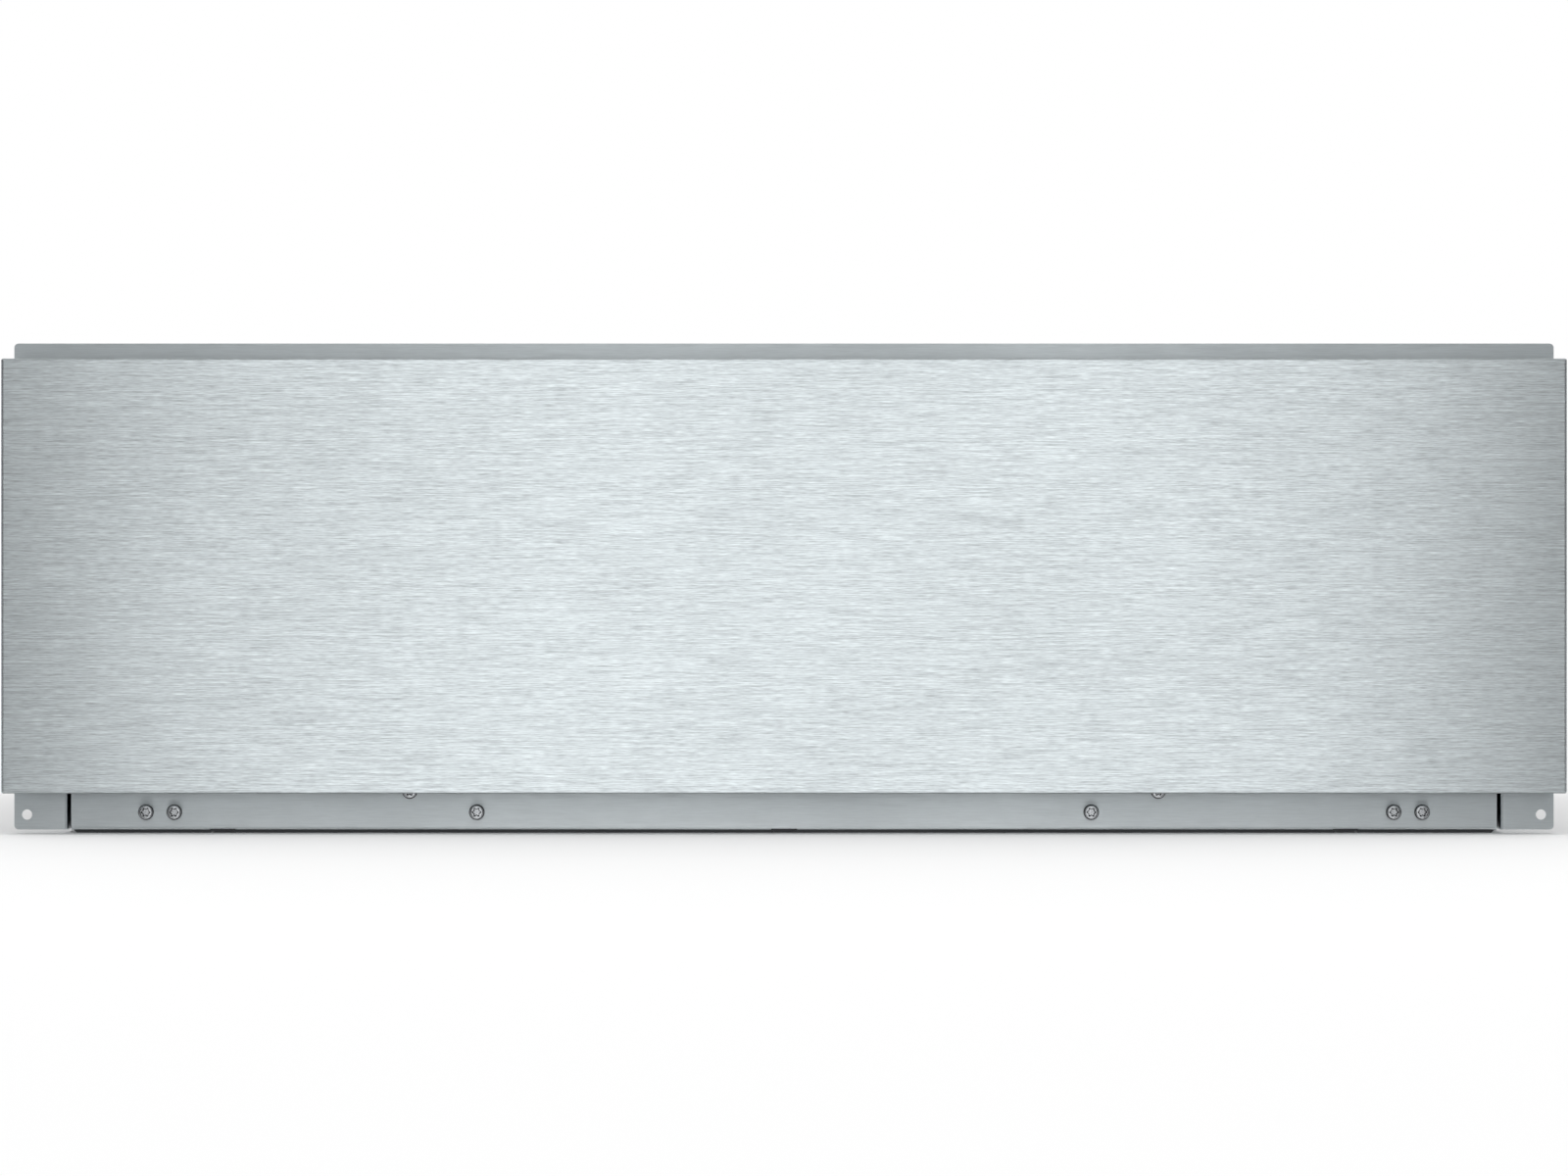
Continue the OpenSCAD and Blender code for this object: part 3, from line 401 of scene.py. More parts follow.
class Finish(NodeTree):
    """A node material that is built up round one shader, on Object coordinates."""

    def __init__(self, name, colour, metallic, roughness):
        self.material = bpy.data.materials.new(name)
        super().__init__(self.material)
        self.shader = self.nodes["Principled BSDF"]
        self.colour = tuple(colour)
        self.set(Base_Color=(*self.colour, 1), Metallic=metallic, Roughness=roughness)
        self.place = self.node("TexCoord").outputs["Object"]

    def set(self, **values):
        """Plain values or patterns on the shader's own sockets."""
        self.fill(self.shader, {key.replace("_", " "): value for key, value in values.items()})

    def mixture(self, first, first_share, second, second_share):
        """The sum of two patterns, each by its share."""
        return self.math("ADD", self.math("MULTIPLY", first, first_share),
                         self.math("MULTIPLY", second, second_share))

    def stretched(self, stretch, shift=(0, 0, 0)):
        """Object coordinates that are stretched and then shifted."""
        inputs = {"Vector": self.place, "Location": shift, "Scale": stretch}
        return self.node("Mapping", inputs).outputs["Vector"]

    def times(self, vector, factors):
        """A vector multiplied axis by axis."""
        return self.node("VectorMath", {0: vector, 1: factors}, operation="MULTIPLY").outputs[0]

    def length(self, vector):
        return self.node("VectorMath", {0: vector}, operation="LENGTH").outputs["Value"]

    def noise(self, scale, detail=2.0, where=None, distortion=0.0):
        inputs = {"Vector": where or self.place, "Scale": scale, "Detail": detail,
                  "Distortion": distortion}
        return self.node("TexNoise", inputs).outputs["Fac"]

    def cells(self, scale, where=None, output="Color"):
        return self.node("TexVoronoi", {"Vector": where or self.place, "Scale": scale}).outputs[output]

    def facing(self, axis):
        """How squarely the surface faces along an axis, from 0 to 1."""
        normal = self.node("NewGeometry").outputs["Normal"]
        return self.math("ABSOLUTE", self.node("SeparateXYZ", {0: normal}).outputs[axis])

    def spread(self, value, to, span=(0.3, 0.7)):
        """A value spread from one span to another."""
        inputs = {0: value, 1: span[0], 2: span[1], 3: to[0], 4: to[1]}
        return self.node("MapRange", inputs).outputs[0]

    def between(self, amount, first, second):
        """The colour that lies that far between two colours."""
        ends = [end if isinstance(end, bpy.types.NodeSocket) else (*end, 1) for end in (first, second)]
        return self.node("Mix", {0: amount, 6: ends[0], 7: ends[1]}, data_type="RGBA").outputs[2]

    def shade(self, amount):
        """The finish's own colour, darker or paler by a share."""
        return tuple(min(1.0, part * (1 + amount)) for part in self.colour)

    def tones(self, amount, darker, paler):
        """The finish's own colour, wandering between a darker and a paler tone."""
        return self.between(amount, self.shade(-darker), self.shade(paler))

    def raise_up(self, height, distance, strength):
        """Raises the surface by a height pattern."""
        inputs = {"Height": height, "Distance": distance, "Strength": strength}
        self.set(Normal=self.node("Bump", inputs).outputs["Normal"])


def grain_place(finish, along, across):
    """Coordinates for brushing lines that run round the folds with the sheet."""
    steep = 0.7
    on_side = finish.math("GREATER_THAN", finish.facing("X"), steep)
    depth = finish.spread(on_side, (across, along), (0, 1))
    scale = finish.node("CombineXYZ", {"X": along, "Y": depth, "Z": across}).outputs[0]
    return finish.times(finish.place, scale)


def brushed(name, colour, roughness, contrast, fine=3000.0):
    """Steel brushed along its width, with short scratches and longer streaks."""
    finish = Finish(name, colour, 1.0, roughness)
    scratches = finish.noise(1.0, 2.0, grain_place(finish, along=190.0, across=fine))
    streaks = finish.noise(1.0, 1.0, grain_place(finish, along=50.0, across=fine * 0.75))
    grain = finish.mixture(scratches, 0.55, streaks, 0.45)
    span = (0.32, 0.68)
    handled = finish.spread(finish.noise(7.0, 3.0), (roughness - 0.02, roughness + 0.02))
    finish.set(Base_Color=finish.tones(finish.spread(grain, (0, 1), span), contrast, contrast),
               Roughness=finish.math("ADD", handled, finish.spread(grain, (0.03, -0.03), span)),
               Anisotropic=0.9, Anisotropic_Rotation=0.25)
    finish.raise_up(grain, distance=0.00006, strength=0.35)
    return finish


def galvanised(name, colour):
    """Zinc-coated sheet with its spangle."""
    finish = Finish(name, colour, 1.0, 0.42)
    warped = finish.node("MixRGB", {0: 0.006, 1: finish.place, 2: finish.noise(60.0)}).outputs[0]
    spangle = finish.node("SeparateColor", {0: finish.cells(150.0, warped)}).outputs[0]
    feathers = finish.noise(420.0, 3.0)
    tone = finish.mixture(spangle, 0.75, feathers, 0.25)
    finish.set(Base_Color=finish.tones(tone, 0.1, 0.09),
               Roughness=finish.spread(tone, (0.37, 0.47), (0.1, 0.9)))
    finish.raise_up(feathers, distance=0.00003, strength=0.3)
    return finish


def coated(name, colour):
    """Dark stoved coating with a fine orange peel."""
    finish = Finish(name, colour, 0.0, 0.42)
    cloud = finish.noise(25.0, 3.0)
    finish.set(Base_Color=finish.tones(cloud, 0.15, 0.2), Roughness=finish.spread(cloud, (0.36, 0.5)))
    finish.raise_up(finish.noise(900.0), distance=0.00008, strength=0.5)
    return finish


def plated(name, colour, roughness, second=None, flank_shade=None):
    """Thin plating whose tone wanders a little, over the drawn steel's fine lines.

    With a flank colour, painted shade darkens the flanks and the recess of a head that faces the front:
    a dark, rougher, less metallic tone standing in for the dark reflections and shadow there.
    """
    finish = Finish(name, colour, 1.0, roughness)
    cloud = finish.spread(finish.noise(130.0, 4.0), (0, 1))
    lines = finish.noise(1.0, 2.0, finish.stretched((1400, 60, 1400)))
    tone = finish.between(cloud, finish.colour, second or finish.shade(-0.2))
    gloss = finish.spread(lines, (roughness - 0.06, roughness + 0.08))
    # Painted shade: a dark tone on the surfaces of the head that don't face the front
    if flank_shade:
        facing_front = finish.spread(finish.facing("Y"), (0, 1), (0.55, 0.95))
        painted_shade = finish.math("SUBTRACT", 1.0, facing_front)
        tone = finish.between(facing_front, flank_shade, tone)
        gloss = finish.math("ADD", gloss, finish.math("MULTIPLY", painted_shade, 0.4))
        finish.set(Metallic=facing_front)
    finish.set(Base_Color=tone, Roughness=gloss)
    finish.raise_up(lines, distance=0.00003, strength=0.25)
    return finish


def moulded(name, colour, roughness, coarse=2200.0, sheen=0.0):
    """Moulded plastic or rubber with a fine eroded texture."""
    finish = Finish(name, colour, 0.0, roughness)
    texture = finish.noise(coarse)
    finish.set(Base_Color=finish.tones(finish.noise(40.0, 3.0), 0.08, 0.1),
               Roughness=finish.spread(texture, (roughness - 0.06, roughness + 0.06)),
               Sheen_Weight=sheen)
    finish.raise_up(texture, distance=0.00006, strength=0.5)
    return finish


def glass(name, colour):
    """Black glass, polished, with the faint haze of wiping."""
    finish = Finish(name, colour, 0.0, 0.05)
    haze = finish.noise(1.0, 4.0, finish.stretched((9, 26, 9)))
    finish.set(Base_Color=finish.tones(haze, 0, 0.6), Roughness=finish.spread(haze, (0.03, 0.09)),
               IOR=1.52)
    return finish


def wool(name, colour):
    """Bonded mineral wool: matted fibres that cross at several angles."""
    finish = Finish(name, colour, 0.0, 0.95)
    fibres = 0.0
    for layer in range(4):
        turn = (0.4 * layer, 0.3 + 0.5 * layer, 0.35 + 0.8 * layer)
        laid = finish.node("Mapping", {"Vector": finish.place, "Rotation": turn}).outputs[0]
        drawn = finish.times(laid, (1700, 160, 1700))
        fibres = finish.math("MAXIMUM", fibres, finish.noise(1.0, 3.0, drawn, distortion=1.2))
    mat = finish.mixture(fibres, 0.8, finish.noise(38.0, 4.0), 0.4)
    tone = finish.spread(mat, (0, 1), (0.5, 0.85))
    finish.set(Base_Color=finish.tones(tone, 0.5, 0.25), Sheen_Weight=0.3)
    finish.raise_up(mat, distance=0.0008, strength=0.8)
    return finish


def rolled(name, colour, roughness):
    """Bare rolled sheet with faint lines along its length."""
    finish = Finish(name, colour, 1.0, roughness)
    lines = finish.noise(1.0, 2.0, finish.stretched((60, 1500, 1500)))
    cloud = finish.noise(18.0, 3.0)
    finish.set(Base_Color=finish.tones(lines, 0.08, 0.06),
               Roughness=finish.spread(cloud, (roughness - 0.05, roughness + 0.07)))
    finish.raise_up(lines, distance=0.00003, strength=0.25)
    return finish


def oxidised(name, colour, burnt, soot):
    """Heater sheath, browned and dulled by heat."""
    finish = Finish(name, colour, 0.85, 0.5)
    patches = finish.noise(90.0, 4.0)
    specks = finish.noise(1400.0)
    warm = finish.between(finish.spread(patches, (0, 1)), finish.colour, burnt)
    finish.set(Base_Color=finish.between(finish.spread(specks, (0, 0.35)), warm, soot),
               Roughness=finish.spread(patches, (0.4, 0.62)))
    finish.raise_up(specks, distance=0.00004, strength=0.4)
    return finish


def circuit(name, colour, over_copper, parts, foot, top):
    """Solder resist over straight tracks, with dark parts above and below the board."""
    finish = Finish(name, colour, 0.0, 0.28)
    tracks = finish.node("TexBrick", {
        "Vector": finish.place, "Scale": 420.0, "Mortar Size": 0.06, "Brick Width": 4.5,
        "Row Height": 0.55}).outputs["Fac"]
    height = finish.node("SeparateXYZ", {0: finish.place}).outputs["Z"]
    margin = 0.0001
    off_board = finish.math("ADD", finish.math("LESS_THAN", height, foot - margin),
                            finish.math("GREATER_THAN", height, top + margin))
    board = finish.between(tracks, finish.colour, over_copper)
    finish.set(Base_Color=finish.between(off_board, board, parts),
               Roughness=finish.spread(finish.noise(300.0), (0.22, 0.36)))
    finish.raise_up(tracks, distance=0.00005, strength=0.5)
    return finish


def lens(name, colour):
    """Tinted lens of an indicator lamp, with fine prisms."""
    finish = Finish(name, colour, 0.0, 0.18)
    prisms = finish.cells(1800.0, output="Distance")
    finish.set(Base_Color=finish.tones(prisms, 0.25, 0.15), Transmission_Weight=0.35)
    finish.raise_up(prisms, distance=0.0001, strength=0.4)
    return finish


def turned_metal(name, colour, *centres):
    """Aluminium turned about upright axes, with fine rings round the nearest one."""
    finish = Finish(name, colour, 1.0, 0.3)
    reach = 1.0
    for centre in centres:
        moved = finish.stretched((1, 1, 1), (-centre.x, -centre.y, 0))
        reach = finish.math("MINIMUM", finish.length(finish.times(moved, (1, 1, 0))), reach)
    line = finish.node("CombineXYZ", {"X": reach}).outputs[0]
    rings = finish.noise(4200.0, 2.0, line)
    finish.set(Base_Color=finish.tones(rings, 0.14, 0.08), Roughness=finish.spread(rings, (0.24, 0.38)))
    finish.raise_up(rings, distance=0.00003, strength=0.3)
    return finish


def recipes():
    """The maker of each finish, with the finish's name, its colour and the maker's other values."""
    colours = bpy.context.scene.drawer_finish
    frame_grain = colours.grain * 0.13
    lamp_height, board_thickness = 0.0025, 0.0016
    board_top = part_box("control_board")[1].z - lamp_height
    board_foot = board_top - board_thickness
    return {
        "brushed_panel": (brushed, "Brushed panel", colours.panel, 0.32, colours.grain),
        "satin_frame": (brushed, "Satin frame", colours.frame, 0.47, frame_grain, 3200.0),
        "drawer_steel": (brushed, "Drawer steel", (0.60, 0.62, 0.64), 0.34, 0.06),
        "galvanised_sheet": (galvanised, "Galvanised sheet", colours.casing),
        "dark_base": (coated, "Dark base", (0.03, 0.032, 0.035)),
        "zinc_steel": (plated, "Zinc plate", (0.66, 0.68, 0.71), 0.2, (0.61, 0.63, 0.66)),
        # Front screws: the last colour is painted shade on the flanks and in the recesses of the heads
        "front_zinc": (plated, "Handled zinc", (0.60, 0.62, 0.64), 0.26, (0.5, 0.52, 0.54),
                       (0.02, 0.022, 0.025)),
        "ball_steel": (plated, "Ball steel", (0.72, 0.73, 0.75), 0.12),
        "cage_steel": (plated, "Yellow passivated", (0.66, 0.56, 0.30), 0.32, (0.55, 0.45, 0.36)),
        "heater_sheath": (oxidised, "Heater sheath", (0.30, 0.28, 0.26), (0.23, 0.16, 0.11),
                          (0.1, 0.09, 0.1)),
        "aluminium_sheet": (rolled, "Aluminium sheet", (0.74, 0.75, 0.76), 0.33),
        "copper_ribbon": (plated, "Resistance ribbon", (0.62, 0.38, 0.22), 0.3, (0.45, 0.24, 0.14)),
        "knob_metal": (turned_metal, "Turned aluminium", (0.72, 0.73, 0.74),
                       middle_of("selector_knob"), middle_of("power_button")),
        "black_glass": (glass, "Black glass", (0.006, 0.006, 0.007)),
        "black_plastic": (moulded, "Black plastic", (0.022, 0.022, 0.024), 0.42),
        "grey_plastic": (moulded, "Grey plastic", (0.09, 0.09, 0.095), 0.48),
        "white_plastic": (moulded, "White plastic", (0.72, 0.71, 0.68), 0.4),
        "silicone": (moulded, "Silicone", (0.05, 0.05, 0.052), 0.6, 1500.0, 0.1),
        "buffer_rubber": (moulded, "Buffer rubber", (0.03, 0.03, 0.03), 0.7, 1200.0, 0.2),
        "mineral_wool": (wool, "Mineral wool", (0.55, 0.47, 0.24)),
        "lens_amber": (lens, "Amber lens", (0.85, 0.36, 0.05)),
        "board_green": (circuit, "Circuit board", (0.02, 0.16, 0.06), (0.10, 0.34, 0.16),
                        (0.035, 0.035, 0.04), board_foot, board_top),
    }


def finish_for(slot):
    """The material of one of the record's slots, made when it is first asked for."""
    if slot not in finishes:
        maker, *values = recipes()[slot]
        finishes[slot] = maker(*values).material
    return finishes[slot]


def dress(*names):
    """Gives CAD nodes their finish."""
    nodes = [frame["nodes"][name] for name in names]
    for name, node in zip(names, nodes):
        for place in node.material_slots:
            place.material = finish_for(SLOT_OF[name])
    return nodes


def shade_between_edges(node):
    """Shades a CAD node smooth between its real edges."""
    add_modifier(node, "EDGE_SPLIT", split_angle=FOLD_ANGLE)
    node.data.polygons.foreach_set("use_smooth", [True] * len(node.data.polygons))


def dress_sheets(*names):
    """Dresses CAD nodes of sheet, and shades their folds smooth but not their flats."""
    for node in dress(*names):
        add_modifier(node, "WELD", merge_threshold=TOUCH)
        shade_between_edges(node)
        add_modifier(node, "WEIGHTED_NORMAL", weight=90)


def dress_mouldings(*names):
    """Dresses moulded CAD nodes, and rounds their edges a little."""
    for node in dress(*names):
        add_modifier(node, "WELD", merge_threshold=TOUCH)
        add_modifier(node, "DECIMATE", decimate_type="DISSOLVE", angle_limit=math.radians(1))
        add_modifier(node, "BEVEL", width=0.0003, segments=3, angle_limit=math.radians(60))
        shade_between_edges(node)


# Sizes and colours


def length_property(name, description, default, low, high):
    """A length that a user can set."""
    return bpy.props.FloatProperty(
        name=name, description=description, default=default, min=low, max=high, unit="LENGTH")


def colour_property(name, description, default):
    """A colour that a user can set."""
    return bpy.props.FloatVectorProperty(
        name=name, description=description, default=default, min=0, max=1, subtype="COLOR")


class DrawerShape(bpy.types.PropertyGroup):
    """Sizes of the fine pieces."""

    side_bend: length_property(
        "Side bend", "Outer radius of the front panel's side bends", 0.0012, 0.0005, 0.002)
    top_bend: length_property(
        "Top bend", "Outer radius of the front panel's top and bottom bends", 0.0009, 0.0004, 0.002)
    lip: length_property(
        "Return lip", "Width of the panel's return lips at its back", 0.032, 0.01, 0.06)
    side_lip: length_property(
        "Side return lip", "Width of the return lips at the panel's two ends", 0.045, 0.01, 0.08)
    glass_edge: length_property(
        "Glass edge", "Width of the ground edge of the warming plate", 0.0008, 0.0002, 0.0015)
    spring_wire: length_property(
        "Spring wire", "Thickness of the latch spring's wire", 0.0008, 0.0004, 0.0012)
    spring_turns: bpy.props.IntProperty(
        name="Spring turns", description="Number of turns of the latch spring",
        default=6, min=3, max=7)
    numeral: length_property(
        "Numerals", "Height of the numbers round the knob", 0.0036, 0.002, 0.005)


class DrawerFinish(bpy.types.PropertyGroup):
    """Colours and grain of the main finishes."""

    panel: colour_property(
        "Front panel", "Colour of the brushed front panel", (0.695, 0.752, 0.776))
    frame: colour_property(
        "Front frame", "Colour of the frame and the rail round the front panel", (0.74, 0.79, 0.81))
    casing: colour_property("Casing", "Colour of the galvanised casing", (0.60, 0.62, 0.64))
    grain: bpy.props.FloatProperty(
        name="Grain", description="How strongly the brushing lines show",
        default=0.3, min=0, max=0.5, subtype="FACTOR")


class DrawerStage(bpy.types.PropertyGroup):
    """Camera, floor and lights."""

    distance: length_property(
        "Camera distance", "Distance from the middle of the drawer to the camera", 3.123, 1, 8)
    height: length_property("Camera height", "Height of the camera above the floor", 0.1192, 0.02, 2)
    lens: bpy.props.FloatProperty(
        name="Lens", description="Focal length of the camera",
        default=135, min=20, max=300, unit="CAMERA")
    front_light: bpy.props.FloatProperty(
        name="Front light", description="Power of the soft light behind the camera",
        default=33.6, min=0, max=400, unit="POWER")
    top_light: bpy.props.FloatProperty(
        name="Top light", description="Power of the soft light over the drawer",
        default=15, min=0, max=400, unit="POWER")
    sky: bpy.props.FloatProperty(
        name="Room light", description="Strength of the even light of the room",
        default=0.95, min=0, max=2)


# Pieces


class DRAWER_OT_front_panel(bpy.types.Operator):
    """Front panel: a brushed pan with small bends and wide return lips"""

    bl_idname = "drawer.front_panel"
    bl_label = "Front panel"

    def execute(self, context):
        shape = context.scene.drawer_shape
        low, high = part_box("front_panel")
        panel = start_block("panel_skin", low, high)
        edit(panel)
        pick("FACE", lambda face: face.normal.y > 0.99)
        bpy.ops.mesh.inset(thickness=shape.lip)
        pick("FACE", lambda face: face.normal.y > 0.99
             and all(abs(vert.co.x) < high.x - shape.lip / 2 for vert in face.verts))
        narrower = (high.x - shape.side_lip) / (high.x - shape.lip)
        bpy.ops.transform.resize(value=(narrower, 1, 1), center_override=(0, high.y, 0))
        bpy.ops.mesh.delete(type="FACE")
        done()
        apply_modifier(panel, "SOLIDIFY", thickness=0.001, offset=-1, use_even_offset=True)
        edit(panel)
        pick("EDGE", lambda edge: edge_along(edge, 2) and all_at(edge, 1, low.y))
        round_edges(shape.side_bend, 6)
        pick("EDGE", lambda edge: any(
            all_at(edge, 2, z) and not all_at(edge, 1, high.y) for z in (low.z, high.z)))
        round_edges(shape.top_bend, 4)
        done()
        smooth(panel)
        put(panel, "drawer", "brushed_panel", "front_panel")
        return {"FINISHED"}


class DRAWER_OT_front_frame(bpy.types.Operator):
    """Front frame and front rail: satin sheet with folded mouth"""

    bl_idname = "drawer.front_frame"
    bl_label = "Front frame"

    def execute(self, context):
        dress_sheets("front_frame", "front_rail", "rail_brackets")
        return {"FINISHED"}


class DRAWER_OT_screws(bpy.types.Operator):
    """Pan-head screws with a lobed recess in the front rail, the top cover and the front module"""

    bl_idname = "drawer.screws"
    bl_label = "Screws"

    def execute(self, context):
        # The rail screws take the zinc finish with painted shade on their flanks and recesses
        for node, body, facing, finish, head, head_height, shank, length in (
            ("rail_screws", "casing", "-Y", "front_zinc", 0.00375, 0.0026, 0.002, 0.01),
            ("cover_screws", "casing", "outwards", None, 0.0028, 0.0014, 0.0015, 0.006),
            ("drawer_screws", "drawer", "+Y", None, 0.003, 0.0018, 0.0015, 0.0022),
        ):
            screw = lobed_screw(node.rstrip("s"), head, head_height, shank, length)
            set_out(screw, node, body, facing, head_height, finish)
        return {"FINISHED"}


class DRAWER_OT_rivets(bpy.types.Operator):
    """Domed rivets of the frame and the slides"""

    bl_idname = "drawer.rivets"
    bl_label = "Rivets"

    def execute(self, context):
        head, shank = 0.0038, 0.0019
        for node, body, facing, head_height in (
            ("frame_rivets", "casing", "outwards", 0.001),
            ("runner_rivets", "casing", "outwards", 0.0012),
            ("drawer_rivets", "drawer", "inwards", 0.0012),
        ):
            low, high = solids_of(node)[0]
            length = high.x - low.x - head_height
            rivet = domed_rivet(node.rstrip("s"), head, head_height, shank, length)
            set_out(rivet, node, body, facing, head_height)
        return {"FINISHED"}


class DRAWER_OT_buffers(bpy.types.Operator):
    """Rubber stop buffers between the closed panel and the frame"""

    bl_idname = "drawer.buffers"
    bl_label = "Stop buffers"

    def execute(self, context):
        low, high = solids_of("stop_buffers")[0]
        thick = high.y - low.y
        profile = [(0.006, 0), (0.006, thick * 0.45), (0.0057, thick * 0.75), (0.0049, thick * 0.95),
                   (0.0042, thick), (0.0022, thick), (0.0018, thick * 0.8), (0.0008, thick * 0.72)]
        set_out(turned("stop_buffer", profile), "stop_buffers", "casing", "-Y", thick)
        return {"FINISHED"}


class DRAWER_OT_casing(bpy.types.Operator):
    """Casing: base plate, walls, cover, latch and mains entry"""

    bl_idname = "drawer.casing"
    bl_label = "Casing"

    def execute(self, context):
        dress_sheets("base_plate", "side_wall_left", "side_wall_right", "rear_wall", "top_cover",
                     "top_crossbar")
        dress_mouldings("terminal_box", "cable_bushing")
        dress("latch_body", "latch_plunger", "terminal_block")
        self.make_coil(context.scene.drawer_shape)
        return {"FINISHED"}

    def make_coil(self, shape):
        """Coil of round wire in the place of the latch spring."""
        low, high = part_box("latch_spring")
        wire = shape.spring_wire / 2
        reach = (high.x - low.x) / 2 - wire
        deselect()
        bpy.ops.mesh.primitive_circle_add(
            vertices=8, radius=wire, location=(reach, 0, wire), rotation=(math.pi / 2, 0, 0))
        coil = settle(bpy.context.object, "latch_coil")
        apply_modifier(coil, "SCREW", axis="Z", angle=2 * math.pi * shape.spring_turns, steps=120,
                       render_steps=120, screw_offset=high.y - low.y - 2 * wire)
        edit(coil)
        bpy.ops.mesh.select_all(action="SELECT")
        bpy.ops.mesh.remove_doubles(threshold=1e-6)
        bpy.ops.mesh.fill_holes(sides=0)
        face_outwards()
        middle = middle_of("latch_spring")
        coil.location = (middle.x, low.y, middle.z)
        coil.rotation_euler = TURN_TO["+Y"]
        settle(coil, "latch_coil")
        smooth(coil)
        put(coil, "casing", SLOT_OF["latch_spring"], "latch_spring")
        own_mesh(coil)


class DRAWER_OT_slides(bpy.types.Operator):
    """Ball slides: members, cages and balls"""

    bl_idname = "drawer.slides"
    bl_label = "Slides"

    def execute(self, context):
        for side in ("left", "right"):
            for member in ("outer", "middle", "inner"):
                dress_sheets("runner_%s_%s" % (member, side))
            for race in ("outer", "inner"):
                dress_sheets("%s_cage_%s" % (race, side))
                dress("%s_balls_%s" % (race, side))
        return {"FINISHED"}


class DRAWER_OT_drawer_box(bpy.types.Operator):
    """Drawer box: sides, floor, rear wall and the hollow front module"""

    bl_idname = "drawer.drawer_box"
    bl_label = "Drawer box"

    def execute(self, context):
        dress_sheets("drawer_side_left", "drawer_side_right", "drawer_floor", "drawer_rear_wall",
                     "inner_front")
        dress("strike_plate")
        return {"FINISHED"}


class DRAWER_OT_heating(bpy.types.Operator):
    """Heated floor and air circulation, with the ground edge of the glass"""

    bl_idname = "drawer.heating"
    bl_label = "Heating"

    def execute(self, context):
        dress("heater_tray", "heating_element", "plate_seal", "fan_wheel", "fan_motor", "ring_heater")
        dress_sheets("air_duct")
        dress_mouldings("thermostat")
        low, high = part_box("warming_plate")
        plate = start_block("glass_plate", low, high)
        round_upright_edges(plate, 0.0015, 4)
        pick("EDGE", lambda edge: all_at(edge, 2, high.z))
        round_edges(context.scene.drawer_shape.glass_edge, 3)
        done()
        smooth(plate)
        put(plate, "drawer", "black_glass", "warming_plate")
        return {"FINISHED"}


def blanket(name, node, number):
    """Loose blanket of wool in the space of a CAD solid."""
    cell, loft = 0.005, 0.0007
    low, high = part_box(node)
    size = high - low
    thin = min(range(3), key=lambda axis: size[axis])
    long_side, short_side = [size[axis] for axis in range(3) if axis != thin]
    deselect()
    bpy.ops.mesh.primitive_grid_add(
        x_subdivisions=int(long_side / cell), y_subdivisions=int(short_side / cell), size=1)
    piece = bpy.context.object
    piece.scale = (long_side - 2 * loft, short_side - 2 * loft, 1)
    piece.rotation_euler = (math.pi / 2, 0, 0) if thin == 1 else (0, 0, 0)
    piece.location = middle_of(node)
    settle(piece, name)
    apply_modifier(piece, "SOLIDIFY", thickness=size[thin] - 2 * loft, offset=0)
    for scale, strength in ((0.05, 0.0008), (0.009, 0.0005)):
        clouds = bpy.data.textures.new(name + "_loft", "CLOUDS")
        clouds.noise_scale = scale * (1 + 0.1 * number)
        apply_modifier(piece, "DISPLACE", texture=clouds, strength=strength, mid_level=0.55,
                       texture_coords="LOCAL")
    select(piece)
    bpy.ops.object.shade_smooth()
    return piece


class DRAWER_OT_insulation(bpy.types.Operator):
    """Wool blankets in the front panel and under the heater tray"""

    bl_idname = "drawer.insulation"
    bl_label = "Insulation"

    def execute(self, context):
        for number, (name, node) in enumerate(
                (("panel_wool", "panel_filler"), ("floor_wool", "floor_insulation"))):
            piece = blanket(name, node, number)
            put(piece, "drawer", "mineral_wool", node)
        return {"FINISHED"}


